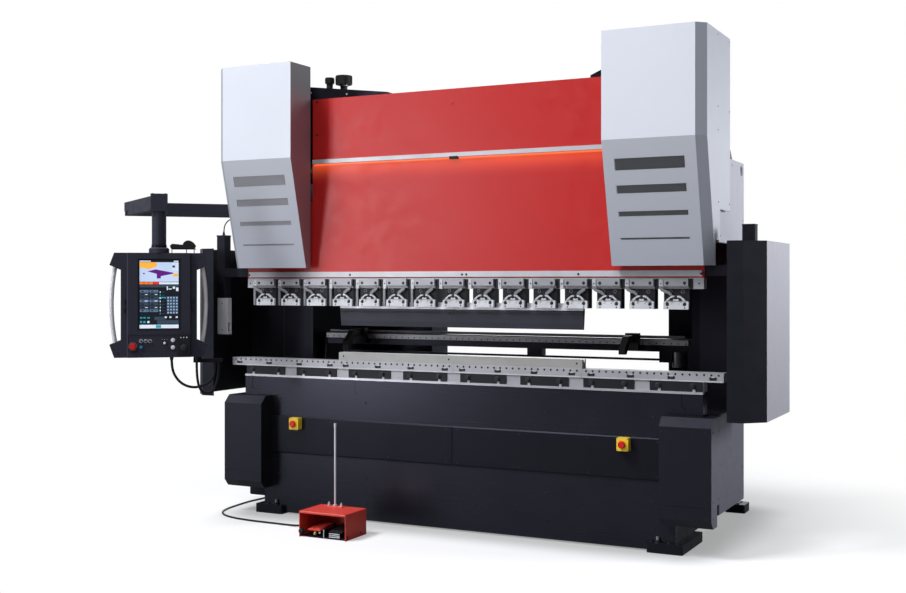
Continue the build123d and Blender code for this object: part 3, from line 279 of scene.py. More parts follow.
def two_coats(name, first, second, rough, choose, painted_falloff=0.0):
    """A first and a second colour with the border where the chooser says: sprayed paint, except where a coat
    uses the second colour for a painted sheen; if asked, painted shade darkens the second colour towards the
    bottom.
    """
    finish = Finish(name, second, rough, specular=0.35)
    cloud = finish.cloud(1.7)
    lower = finish.varied(cloud, first, 0.95, 1.05)
    upper = finish.varied(cloud, second, 0.98, 1.02)
    # painted shade: the second colour darkens towards the bottom, from 1.75 m down to 0.8 m
    if painted_falloff:
        painted_shade_share = finish.ranged(finish.height(), 0.8, 1.75, painted_falloff, 0.0)
        upper = finish.blended(painted_shade_share, upper, shaded(second, 0.3))
    finish.put("Base Color", finish.blended(choose(finish), lower, upper))
    finish.smear(rough * 0.85, rough * 1.25)
    finish.bump(finish.noise(420.0, detail=2.0), 0.15, 0.0004)
    return finish


def ram_paint():
    """The ram's red, with an orange glow of the work light painted on just under it."""
    finish = paint("ram_red_paint_and_painted_glow", (0.48, 0.014, 0.013), 0.36, peel=0.15, specular=0.42, mottle=0.03)
    height = finish.height()
    # painted light: an orange glow on the ram's front, strongest just under the work light and gone 135 mm
    # lower
    painted_falloff = finish.ranged(height, 2.155, 2.290)
    painted_glow = finish.times(painted_falloff, painted_falloff)
    below = finish.combined("LESS_THAN", height, 2.2905)
    in_front = finish.combined("LESS_THAN", finish.axis_of(finish.place, 1), BEND_LINE - 0.0249)
    near = finish.times(below, in_front)
    cloud = finish.ranged(finish.noise(2.3, detail=2.0), 0.3, 0.7, 0.7, 1.1)
    strength = finish.times(finish.times(painted_glow, near), cloud)
    finish.put("Emission Color", (1.0, 0.16, 0.045))
    finish.put("Emission Strength", finish.times(strength, 0.55))
    return finish


LEDGE_TONES = ((0.44, 0.44, 0.47), (0.54, 0.54, 0.57))
SHANK_TONES = ((0.60, 0.60, 0.65), (0.70, 0.70, 0.75))
STRAP_TONES = ((0.30, 0.30, 0.32), (0.37, 0.37, 0.395))


def part_ground(name, coat, level, rough, metal_tones=LEDGE_TONES, dark_band=0.0):
    """One tone below a level and ground steel above it, with a dark band under the border if asked."""
    finish = Finish(name, coat, rough, specular=0.45)
    lines = finish.noise(1.0, detail=6.0, roughness=0.7, vector=finish.stretched(LINES_ACROSS))
    bare = finish.beyond(2, level)
    cloud = finish.cloud(4.0, 5.0)
    metal = finish.blended(cloud, *metal_tones)
    dark = finish.varied(cloud, coat, 0.85, 1.15)
    if dark_band:
        dark = finish.blended(finish.beyond(2, level - dark_band), dark, shaded(coat, 0.15))
    finish.put("Base Color", finish.blended(bare, dark, metal))
    finish.put("Roughness", finish.ranged(lines, 0.25, 0.75, rough * 0.97, rough * 1.03))
    finish.put("Metallic", finish.times(bare, 0.4))
    finish.bump(lines, 0.02, 0.0003)
    return finish


def cover_paint():
    """Silver on the covers' uprights, their outer sides darker towards the top and their corner facets a
    darker grey; painted shade on the slopes, deeper lower down, and on the inner sides, where a painted red
    reflection of the ram lies below a neutral shade at the top.
    """
    finish = Finish("cover_silver_paint_and_painted_shade", SILVER_COAT, 0.5, specular=0.3)
    height = finish.height()
    silver = finish.varied(finish.cloud(1.7), SILVER_COAT, 0.98, 1.02)
    upper = finish.blended(finish.ranged(height, 2.3, 2.95), silver, (0.50, 0.52, 0.57))
    tone = finish.blended(finish.facing_out(), silver, upper)
    # painted shade: faces that slope downwards turn a darker grey, darker still towards their foot
    slope = finish.combined("LESS_THAN", finish.normal(2), -0.15)
    rise = finish.ranged(height, 1.65, 2.3)
    low = finish.blended(rise, (0.44, 0.46, 0.52), (0.50, 0.52, 0.57))
    tone = finish.blended(slope, tone, low)
    across = finish.combined("ABSOLUTE", finish.normal(0), 0.0)
    corner = finish.combined("GREATER_THAN", finish.times(across, finish.normal(1)), -0.2)
    corner = finish.combined("SUBTRACT", 1.0, corner)
    tone = finish.blended(corner, tone, (0.31, 0.325, 0.37))
    # painted shade on the inner sides, with a painted red reflection of the ram below 2.62 m, turning to a
    # neutral shade above 2.78 m
    inward = finish.times(finish.normal(0), finish.axis_of(finish.place, 0))
    inner = finish.combined("LESS_THAN", inward, -0.6)
    top = finish.ranged(height, 2.62, 2.78)
    dark = finish.blended(top, (0.30, 0.17, 0.19), (0.15, 0.15, 0.16))
    tone = finish.blended(inner, tone, dark)
    finish.put("Base Color", tone)
    finish.smear(0.43, 0.6)
    finish.bump(finish.noise(420.0, detail=2.0), 0.12, 0.0004)
    return finish


def vent_material():
    """Louvre screens, with a painted sheen that makes those in the left cover paler than those in the right
    one.
    """
    finish = Finish("vent_screen", (0.085, 0.088, 0.092), 0.5, specular=0.2)
    # painted sheen: the screens in the left cover are paler
    finish.put("Base Color", finish.blended(finish.beyond(0, 0.0), (0.30, 0.30, 0.32), (0.083, 0.086, 0.092)))
    finish.bump(finish.noise(1400.0, detail=2.0), 0.4, 0.0003)
    return finish


MACHINE_BLACK = paint("machine_black_paint", BLACK_COAT, 0.33, specular=0.2)
# the dark grey below is black paint lightened as a painted sheen, for the outward faces of the front boxes and
# of the side covers below 1.75 m
PAINTED_SHEEN_ON_BLACK = (0.105, 0.105, 0.13)
SIDE_SILVER = (0.56, 0.56, 0.62)
BOX_COAT = two_coats("front_box_paint_and_painted_sheen", BLACK_COAT, PAINTED_SHEEN_ON_BLACK, 0.4, Finish.facing_out)
COVER_GREY = cover_paint()
SIDE_COAT = two_coats("side_cover_paint_and_painted_sheen", BLACK_COAT, PAINTED_SHEEN_ON_BLACK, 0.42, Finish.facing_out)
side_tone = SIDE_COAT.shader.inputs["Base Color"].links[0].from_socket
SIDE_COAT.put("Base Color", SIDE_COAT.blended(SIDE_COAT.beyond(2, 1.75), side_tone, SIDE_SILVER))
GUARD_TONE = (0.009, 0.009, 0.012)
# the guards' outer sides are silver paint, with painted shade that darkens them towards the bottom
GUARD_COAT = two_coats("guard_side_paint_and_painted_shade", GUARD_TONE, SIDE_SILVER, 0.45, Finish.facing_out, 0.45)
RAM_RED = ram_paint()
GUARD_BLACK = paint("guard_black_paint", GUARD_TONE, 0.45, peel=0.4, specular=0.22)
PANEL_BLACK = paint("panel_textured_paint", (0.026, 0.026, 0.037), 0.6, peel=0.9, grain=1500.0, specular=0.25)
PEDAL_RED = paint("pedal_red_enamel", (0.66, 0.045, 0.024), 0.42, peel=0.3, specular=0.7)
SAFETY_YELLOW = paint("safety_yellow_plastic", (0.86, 0.60, 0.03), 0.4, peel=0.1)
BED_COAT = part_ground("bed_paint_with_ground_ledge", BLACK_COAT, 0.8985, 0.27)
PUNCH_OXIDE = (0.024, 0.024, 0.038)
PUNCH_STEEL = part_ground("punch_oxide_with_ground_shank", PUNCH_OXIDE, 1.3575, 0.42, SHANK_TONES, 0.010)
HOLDER_STEEL = part_ground("holder_steel", (0.60, 0.61, 0.635), 1.47, 0.4, STRAP_TONES)
DIE_STEEL = ground_steel("die_steel", (0.33, 0.325, 0.315), 0.4, along=(60.0, 320.0, 2.0), metal=0.2)
STEEL = ground_steel("ground_steel", (0.37, 0.37, 0.395), 0.38, metal=0.2)
UPRIGHT_STEEL = ground_steel("upright_steel", (0.66, 0.66, 0.70), 0.36, along=(320.0, 320.0, 1.5), metal=0.25)
DARK_STEEL = ground_steel("blackened_steel", (0.013, 0.013, 0.017), 0.42, specular=0.25, metal=0.1)
CHROME = ground_steel("chromed_rod", (0.75, 0.75, 0.77), 0.12, along=(300.0, 300.0, 300.0))
BUTTON_RED = moulded("stop_button_red", (0.60, 0.015, 0.012), 0.3, depth=0.05)
BLACK_PLASTIC = moulded("black_plastic", (0.009, 0.009, 0.011), 0.5)
RUBBER = moulded("cable_rubber", (0.008, 0.008, 0.009), 0.55, grain=600.0, depth=0.2)
SCREEN = Finish("screen_glass", (0.012, 0.016, 0.03), 0.08)
BRIGHT_STEEL = ground_steel("bright_steel", (0.53, 0.54, 0.565), 0.38, metal=0.15)
GREY_STEEL = ground_steel("grey_steel", (0.20, 0.20, 0.215), 0.42, metal=0.4)
HEAD_SILVER = paint("curtain_head_silver", (0.80, 0.80, 0.84), 0.5, peel=0.1)

for black in (MACHINE_BLACK, BOX_COAT, SIDE_COAT, BED_COAT, GUARD_BLACK, PANEL_BLACK):
    black.put("Specular Tint", (0.70, 0.70, 0.95))

FINISHED_NODES = (
    (STEEL, "wedge_bar die_rails slideways gauge_track tool_rail holder_levers"),
    (DIE_STEEL, "dies"),
    (DARK_STEEL, "wedge_clamps holder_bodies pedal_base"),
    (BRIGHT_STEEL, "ram_scale light_bar"),
    (UPRIGHT_STEEL, "panel_handles pedal_rod"),
    (HOLDER_STEEL, "holder_plates"),
    (PUNCH_STEEL, "punches"),
    (CHROME, "piston_rods"),
    (BED_COAT, "bed_front_plate"),
    (SIDE_COAT, "side_covers"),
    (BOX_COAT, "front_boxes"),
    (COVER_GREY, "cylinder_covers"),
    (GUARD_COAT, "guard_sides"),
    (GUARD_BLACK, "guard_fronts brackets curtain_posts cable_clip panel_shelf"),
    (RAM_RED, "ram_plate"),
    (HEAD_SILVER, "curtain_heads"),
    (SAFETY_YELLOW, "estop_boxes"),
    (BUTTON_RED, "left_estop_button right_estop_button"),
    (PANEL_BLACK, "arm_one arm_two panel_housing"),
    (SCREEN, "panel_screen"),
    (PEDAL_RED, "pedal_hood stop_pedal"),
    (BLACK_PLASTIC, "tank_caps left_gauge_finger right_gauge_finger"),
    (BLACK_PLASTIC, "panel_controls hand_unit run_pedal cable_glands"),
)
NODE_FINISH = {node: finish for finish, names in FINISHED_NODES for node in names.split()}

for node_name, node in NODES.items():
    coat_of = NODE_FINISH.get(node_name, MACHINE_BLACK).material
    node.data.materials.clear()
    node.data.materials.append(coat_of)

for cord in [pedal_cord, sensor_cord, *loops]:
    cord.data.materials.append(RUBBER.material)


BLACK_BOLT = ground_steel("blackened_bolt", (0.012, 0.012, 0.015), 0.45, metal=0.2)
BRASS = ground_steel("brass_fitting", (0.62, 0.45, 0.16), 0.35, metal=0.8)
VENT_GREY = vent_material()


def glowing(name, colour, strength, grain=30.0):
    """A lit surface whose brightness varies a little."""
    finish = Finish(name, colour, 0.3)
    level = finish.ranged(finish.noise(grain, detail=2.0), 0.3, 0.7, strength * 0.92, strength * 1.08)
    finish.put("Emission Color", colour)
    finish.put("Emission Strength", level)
    return finish


LAMP_GLOW = glowing("work_light_glow", (1.0, 0.13, 0.04), 1.1, grain=60.0)
PAGE_TONES = {
    "sky": ((0.46, 0.56, 0.74), 0.62, 8.0),
    "amber": ((0.80, 0.36, 0.04), 0.7),
    "violet": ((0.10, 0.01, 0.17), 0.6),
    "orange": ((0.80, 0.14, 0.02), 0.9),
    "red": ((0.62, 0.02, 0.01), 0.9),
    "white": ((0.62, 0.68, 0.76), 0.6),
    "slate": ((0.034, 0.05, 0.075), 0.6),
    "blue": ((0.10, 0.17, 0.28), 0.6),
    "teal": ((0.02, 0.30, 0.38), 0.6),
    "dark": ((0.006, 0.009, 0.014), 0.6),
}
PAGE = [glowing("page_" + tone, *look) for tone, look in PAGE_TONES.items()]
BUTTON_BLUE = moulded("button_blue", (0.05, 0.22, 0.52), 0.3, depth=0.05)
BUTTON_PALE = moulded("button_pale", (0.62, 0.64, 0.70), 0.35, depth=0.05)


# The drawing's millimetres, and the panel's own axes within them.
DRAWING = Matrix.Translation((0, BEND_LINE, 0)) @ Matrix.Scale(MM, 4)
ON_POLE = DRAWING @ Matrix.Translation((*PANEL_AXIS, 0)) @ Matrix.Rotation(PANEL_TURN, 4, "Z")
QUARTER = math.radians(90)
FORWARDS = Matrix.Rotation(QUARTER, 4, "X")
TO_RIGHT = Matrix.Rotation(QUARTER, 4, "Y")
TO_LEFT = Matrix.Rotation(-QUARTER, 4, "Y")
TO_REAR = Matrix.Rotation(-QUARTER, 4, "X")
UPWARDS = Matrix.Identity(4)


def spot(x, y, z):
    return Matrix.Translation((x, y, z))


def ahead(x, y, z):
    """A seat whose up points out of the machine's front."""
    return spot(x, y, z) @ FORWARDS


class Work:
    """A piece put together from shapes in millimetres, then set into the frame."""

    def __init__(self, name, body, slot, *finishes):
        self.name = name
        self.body = body
        self.slot = slot
        self.finishes = finishes
        self.bm = bmesh.new()

    def add(self, shape, place=UPWARDS, finish=0):
        mesh = bpy.data.meshes.new("shape")
        shape.to_mesh(mesh)
        mesh.transform(place)
        first = len(self.bm.faces)
        self.bm.from_mesh(mesh)
        self.bm.faces.ensure_lookup_table()
        for face in self.bm.faces[first:]:
            face.material_index = finish
        bpy.data.meshes.remove(mesh)

    def heads(self, *rows):
        """Shapes that face the front, one row each: shape, place and finish."""
        for shape, x, y, z, finish in rows:
            self.add(shape, ahead(x, y, z), finish)

    def block(self, *sizes, finish=0):
        self.add(plate(*sizes), finish=finish)

    def done(self, place=DRAWING, smooth=35):
        mesh = bpy.data.meshes.new(self.name)
        self.bm.to_mesh(mesh)
        self.bm.free()
        mesh.transform(place)
        piece = placed(self.name, mesh)
        for finish in self.finishes:
            mesh.materials.append(finish.material)
        if smooth:
            mesh.shade_smooth()
            mesh.set_sharp_from_angle(angle=math.radians(smooth))
        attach(piece, self.body)
        return piece


def broken(bm, edges, offset, segments=1):
    bmesh.ops.bevel(
        bm, geom=edges, offset=offset, affect="EDGES", segments=segments, profile=0.5, material=-1
    )


def plate(x0, x1, y0, y1, z0, z1, edge=0.6):
    """A block between two corners with its edges broken."""
    x0, x1 = sorted((x0, x1))
    bm = bmesh.new()
    bmesh.ops.create_cube(bm, size=1.0)
    bmesh.ops.scale(bm, vec=(x1 - x0, y1 - y0, z1 - z0), verts=bm.verts)
    bmesh.ops.translate(bm, vec=((x0 + x1) / 2, (y0 + y1) / 2, (z0 + z1) / 2), verts=bm.verts)
    if edge:
        broken(bm, bm.edges[:], edge)
    return bm


def cut_plate(points, y_front, y_back, edge=0.5):
    """A flat plate cut to an outline in X and Z, with its front edges broken."""
    bm = bmesh.new()
    face = bm.faces.new([bm.verts.new((x, y_front, z)) for x, z in points])
    extruded = bmesh.ops.extrude_face_region(bm, geom=[face])
    moved = [v for v in extruded["geom"] if isinstance(v, bmesh.types.BMVert)]
    bmesh.ops.translate(bm, vec=(0, y_back - y_front, 0), verts=moved)
    bmesh.ops.recalc_face_normals(bm, faces=bm.faces)
    if edge:
        rim = [e for e in bm.edges if all(abs(v.co.y - y_front) < 0.01 for v in e.verts)]
        broken(bm, rim, edge)
    return bm


def cone(bm, sides, low, high, depth):
    return bmesh.ops.create_cone(bm, cap_ends=True, segments=sides, radius1=low, radius2=high, depth=depth)


def round_head(radius, height, sides=16, edge=0.15):
    """A round head that stands on its seat, facing up."""
    bm = bmesh.new()
    cone(bm, sides, radius, radius, height)
    bmesh.ops.translate(bm, vec=(0, 0, height / 2), verts=bm.verts)
    rim = [e for e in bm.edges if all(v.co.z > height * 0.99 for v in e.verts)]
    broken(bm, rim, radius * edge, 2)
    return bm


def crown(bm):
    """The highest flat face of a shape that faces up."""
    return max(bm.faces, key=lambda f: (round(f.calc_center_median().z, 3), f.calc_area()))


def socket_screw(radius, height):
    """A cap screw's head with a sunk hexagon socket."""
    bm = round_head(radius, height, sides=12)
    bmesh.ops.inset_individual(bm, faces=[crown(bm)], thickness=radius * 0.38, depth=0)
    bmesh.ops.inset_individual(bm, faces=[crown(bm)], thickness=radius * 0.05, depth=-height * 0.7)
    return bm


def hex_bolt(radius, height):
    """A hexagon head on a round washer."""
    bm = round_head(radius * 1.25, height * 0.2, sides=20)
    head = cone(bm, 6, radius, radius, height * 0.8)["verts"]
    bmesh.ops.translate(bm, vec=(0, 0, height * 0.6), verts=head)
    rim = [e for e in bm.edges if all(v.co.z > height * 0.9 for v in e.verts)]
    broken(bm, rim, radius * 0.1)
    return bm


def ring(outer, inner, height, sides=20):
    """A flat ring that stands on its seat."""
    bm = bmesh.new()
    turns = [2 * math.pi * i / sides for i in range(sides)]
    loops = []
    for radius, z in ((outer, 0), (outer, height), (inner, height), (inner, 0)):
        loops.append([bm.verts.new((-radius * math.sin(t), radius * math.cos(t), z)) for t in turns])
    for first, second in zip(loops, loops[1:] + loops[:1]):
        for i in range(sides):
            bm.faces.new((first[i - 1], first[i], second[i], second[i - 1]))
    bmesh.ops.recalc_face_normals(bm, faces=bm.faces)
    return bm


HOLDER_COUNT = 15
HOLDER_XS = [(i - 7) * 200 for i in range(HOLDER_COUNT)]
STRAP_FACE = -50
JAW_FACE = -48
BLOCK_FACE = -30
RAIL_FACE = -29
HOLDER_LOW = 1372
COVER_SIDE = 1626
SIDE_COVER = 1600
GUARD_SIDE = 1913.2
BOX_SIDE = 1636
BOX_FRONT = -178
BED_PANEL = -66
FRAME_FRONT = -54
CLAMP_FACE = -45
HOOD_LEFT = -749
HOOD_RIGHT = -424
BUTTON_FACE = -112


def mirrored(points):
    return [(-x, z) for x, z in reversed(points)]


def holder_trim():
    """The straps' screws and steps, side blocks, ring screws, black sheets for the painted shade in the gaps
    between holders, and the jaws' arms and hubs.
    """
    work = Work("holder_trim", "ram", "machined_steel", BRIGHT_STEEL, BLACK_BOLT, GREY_STEEL, BUTTON_RED)
    strap_screw = round_head(9.5, 1.6, sides=14)
    ring_screw = socket_screw(8, 2.4)
    hub_screw = round_head(9, 4, sides=14)
    jaw_screw = round_head(10.5, 1.6, sides=14)
    # a black sheet on the tool rail beside each strap, standing for the shade in the gap between holders
    gap_shade_sheet = plate(70.5, 95, RAIL_FACE - 1.4, RAIL_FACE, 1488, 1544, 0.4)
    small_screw = socket_screw(4.2, 1)
    rim = ring(10.5, 8.2, 1.6)
    dot = round_head(2.8, 0.8, sides=10)
    side_block = plate(-100, -78, RAIL_FACE - 13, RAIL_FACE, 1484, 1541, 1)
    side_bar = plate(-101, -84, -42, BLOCK_FACE, HOLDER_LOW, 1484, 1)
    back_points = [(-46, 1421), (46, 1421), (31, 1435), (19, 1446), (-19, 1446), (-31, 1435)]
    backing = cut_plate(back_points, JAW_FACE - 0.8, JAW_FACE, 0)
    arm_points = [(-58, 1419), (-45, 1419), (-31, 1431), (-20, 1439), (-11, 1439), (-8, 1445), (-14, 1450)]
    arm_points += [(-24, 1448), (-38, 1439), (-50, 1430)]
    arms = [cut_plate(points, JAW_FACE - 6, JAW_FACE, 1) for points in (arm_points, mirrored(arm_points))]
    hump_points = [(-19, 1418), (19, 1418), (15, 1428), (9, 1432), (5, 1428)]
    hump_points += [(-5, 1428), (-9, 1432), (-15, 1428)]
    hump = cut_plate(hump_points, JAW_FACE - 3, JAW_FACE, 0.8)
    hub = round_head(9, 5, sides=18)
    step = plate(-69, 69, STRAP_FACE - 0.8, STRAP_FACE, 1500.5, 1506, 0.3)
    for number, x in enumerate(HOLDER_XS):
        for side in (-1, 1):
            work.heads(
                (strap_screw, x + side * 50, STRAP_FACE, 1520, 1),
                (rim, x + side * 35, BLOCK_FACE, 1472, 2),
                (ring_screw, x + side * 35, BLOCK_FACE, 1472, 1),
                (hub_screw, x + side * 25, JAW_FACE - 4, 1428, 1),
                (jaw_screw, x + side * 50, JAW_FACE, 1402, 1),
                (small_screw, x + side * 50, JAW_FACE, 1381, 1),
            )
        work.add(step, spot(x, 0, 0), 2)
        work.add(side_block, spot(x, 0, 0))
        work.add(small_screw, ahead(x - 89, RAIL_FACE - 13, 1517), 1)
        if number < 7:
            work.add(side_bar, spot(x, 0, 0), 2)
        work.add(backing, spot(x, 0, 0), 1)
        for arm in arms:
            work.add(arm, spot(x, 0, 0))
        work.add(hump, spot(x, 0, 0))
        work.add(gap_shade_sheet, spot(x, 0, 0), 1)
        work.add(hub, ahead(x, JAW_FACE, 1440), 1)
        work.add(dot, ahead(x - 24, JAW_FACE, 1403), 3)
        work.add(dot, ahead(x + 20, JAW_FACE, 1403), 2)
    return work.done()


def clamp_levers():
    """The holders' clamp levers, folded from strip: cranked up in the middle, S-shaped near the ends."""
    work = Work("clamp_levers", "ram", "machined_steel", GREY_STEEL, BLACK_BOLT)
    cranked = [(8, 1449), (24, 1449), (36, 1461), (63, 1479), (61, 1490), (48, 1491), (22, 1474), (10, 1463)]
    s_shaped = [(-22, 1449), (-22, 1458), (-38, 1474), (-60, 1481), (-76, 1490), (-84, 1503), (-98, 1503)]
    s_shaped += [(-96, 1488), (-84, 1474), (-66, 1465), (-46, 1459), (-34, 1449)]
    middle_lever = cut_plate(cranked, -52, -44, 1.2)
    end_lever = cut_plate(s_shaped, -52, -44, 1.2)
    pin = round_head(6, 16, sides=14)
    for x in HOLDER_XS:
        near_middle = abs(x) < 900
        work.add(middle_lever if near_middle else end_lever, spot(x, 0, 0))
        work.add(pin, ahead(x + (16 if near_middle else -28), BLOCK_FACE, 1455), 1)
    levers = work.done()
    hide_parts("holder_levers")
    return levers


def ram_fittings():
    """Screws in the scale, the tool rail and the ram, and the plug in the ram's middle."""
    work = Work("ram_fittings", "ram", "dark_steel", BLACK_BOLT, BRIGHT_STEEL, RAM_RED)
    scale_screw = round_head(7.5, 1.4, sides=14)
    for x in (-1541, -750, 53, 82, 811, 1541):
        work.add(scale_screw, ahead(x, -33, 1572))
    ram_screw = socket_screw(8, 1.6)
    for side in (-1, 1):
        for z in (2486, 2701):
            work.add(ram_screw, ahead(side * 1007, -25, z))
    work.add(round_head(17, 1, sides=28), ahead(-20, -25, 2629), 2)
    end_screw = socket_screw(5, 1.2)
    for x in (-1535, 1528):
        work.add(end_screw, ahead(x, RAIL_FACE, 1517))
    lug = ring(9, 5.5, 3)
    for x in (-800, -45):
        work.add(lug, ahead(x, -12.3, 1334))
    return work.done()


def work_light():
    """The two strips of lamps under the ram's light bar, with a black block between them in the middle that
    stands for the shade where they meet.
    """
    work = Work("work_light", "ram", "machined_steel", LAMP_GLOW, BLACK_PLASTIC)
    for side in (-1, 1):
        work.block(side * 34, side * 1018, -40, -31, 2284, 2290, 1.5)
    # painted shade: a black block in the middle, where the two lamp strips meet
    work.block(-30, 30, -47, -27, 2282, 2300, 2, finish=1)
    return work.done(smooth=0)


VENT_ROWS = ((2148, 2213), (2021, 2066), (1894, 1922), (1764, 1775))


def cover_front_at(z):
    """Y of the covers' sloped face at height z."""
    return -280 + (2318 - z) / 700 * 177


def vent_screens():
    """A louvred screen in each of the eight recesses of the covers."""
    work = Work("vent_screens", "machine", "black_plastic", VENT_GREY)
    lean = math.atan(177 / 700)
    for low, high in VENT_ROWS:
        middle = (low + high) / 2
        tall = (high - low) / math.cos(lean)
        sheet = plate(-198, 198, 2.4, 3.8, -tall / 2 + 0.5, tall / 2 - 0.5, 0.2)
        slat = plate(-196, 196, 1, 2.6, -1.1, 1.1, 0.5)
        for side in (-1, 1):
            seat = spot(side * 1307.5, cover_front_at(middle), middle) @ Matrix.Rotation(lean, 4, "X")
            work.add(sheet, seat)
            count = max(1, int(tall // 6))
            for i in range(count):
                work.add(slat, seat @ spot(0, 0, (i - (count - 1) / 2) * 6))
    return work.done(smooth=0)


SIDE_SCREWS = (
    (COVER_SIDE, 0, ((0, 2906), (2, 2506), (2, 2374), (13, 1973), (262, 2906), (262, 2506), (262, 1973))),
    (SIDE_COVER, 0, ((160, 2215), (430, 2215), (696, 1900), (696, 1200), (696, 400), (160, 1790), (160, 735))),
    (GUARD_SIDE, 1, ((-40, 820), (-40, 1700), (430, 820), (430, 1700), (-40, 1260), (430, 1260))),
    (BOX_SIDE, 0, ((-140, 700), (-20, 700), (-140, 320), (-20, 320), (-140, 230), (30, 500))),
)


def cover_fittings():
    """Screws on the covers, guards, boxes and bed panels."""
    work = Work("cover_fittings", "machine", "dark_steel", BLACK_BOLT, GREY_STEEL)
    screw = socket_screw(4.5, 1.6)
    bolt = socket_screw(7, 3)
    for side, facing in ((-1, TO_LEFT), (1, TO_RIGHT)):
        for x, finish, seats in SIDE_SCREWS:
            for y, z in seats:
                work.add(screw, spot(side * x, y, z) @ facing, finish)
        for z in (700, 320):
            for x in (1356, 1600):
                work.add(screw, ahead(side * x, BOX_FRONT, z))
        for x in (40, 450, 880, 1300):
            for z in (424, 622):
                work.add(screw, ahead(side * x, BED_PANEL, z))
        for z in (120, 280, 760):
            for x in (1270, 620):
                work.add(bolt, ahead(side * x, FRAME_FRONT, z))
    return work.done()


CLAMP_XS = [(i - 3.5) * 400 for i in range(8)]


def bed_fittings():
    """The wedge clamps' bolts and tabs; on the die rails, black discs and blocks that stand for the painted
    shade in their holes and notches, a bright piece at the top of each notch, seams and a bright lower edge;
    and three screws above.
    """
    work = Work("bed_fittings", "machine", "dark_steel", BLACK_BOLT, GREY_STEEL, BRIGHT_STEEL)
    clamp_bolt = hex_bolt(15, 14)
    tab = plate(-8, 8, -50, -45, 899.5, 915, 1)
    for x in CLAMP_XS:
        for u in (-104, 96):
            work.add(clamp_bolt, ahead(x + u, CLAMP_FACE, 941))
            work.add(tab, spot(x + u + 8, 0, 12), 2)
    # black discs standing for the painted shade in the die rails' holes
    hole_shade_disc = round_head(6.6, 0.8, sides=10)
    seam = plate(-0.9, 0.9, -45.4, -44.6, 1000, 1019, 0.1)
    die_screw = socket_screw(6, 0.8)
    for rail in range(4):
        middle = (rail - 1.5) * 835
        for i in range(20):
            work.add(hole_shade_disc, ahead(middle + (i - 9.5) * 41, CLAMP_FACE, 1008))
        for i in range(-1, 3):
            work.add(seam, spot(middle + (i - 0.5) * 205, 0, 0))
        work.block(middle - 415, middle + 415, -46.2, -44.5, 968.6, 975, 0.5, finish=2)
        for share in (-3, -1, 1, 3):
            x = middle + share * 835 / 7
            # a black block standing for the painted shade in each notch of the rail
            work.block(x - 19, x + 19, -45.6, -34, 982, 995, 3)
            work.block(x - 10, x + 10, -45.8, -44.5, 994, 999, 0.5, finish=2)
    for x in (-800, -40, 800):
        work.add(die_screw, ahead(x, -30, 1049))
    return work.done()


def gauge_fittings():
    """Screws along the gauge's ground rail, its shaft and the motor's coupling."""
    work = Work("gauge_fittings", "gauge", "dark_steel", BLACK_BOLT, GREY_STEEL, BRIGHT_STEEL)
    screw = round_head(5, 0.9, sides=8)
    for i in range(57):
        work.add(screw, ahead((i - 28) * 46, 550, 1147))
    shaft = round_head(9, 2560, sides=20, edge=0.05)
    work.add(shaft, spot(-1280, 571, 1186) @ TO_RIGHT, 1)
    motor = round_head(34, 96, sides=28, edge=0.12)
    work.add(motor, spot(1222, 600, 1000), 1)
    work.add(round_head(20, 30, sides=24, edge=0.1), spot(1222, 600, 1096 - 30), 2)
    for x in (-1200, 1200):
        for z in (870, 1060):
            facing = TO_LEFT if x > 0 else TO_RIGHT
            work.add(socket_screw(7, 3), spot(math.copysign(1302, x), 600, z) @ facing)
    return work.done()


GLASS = -54


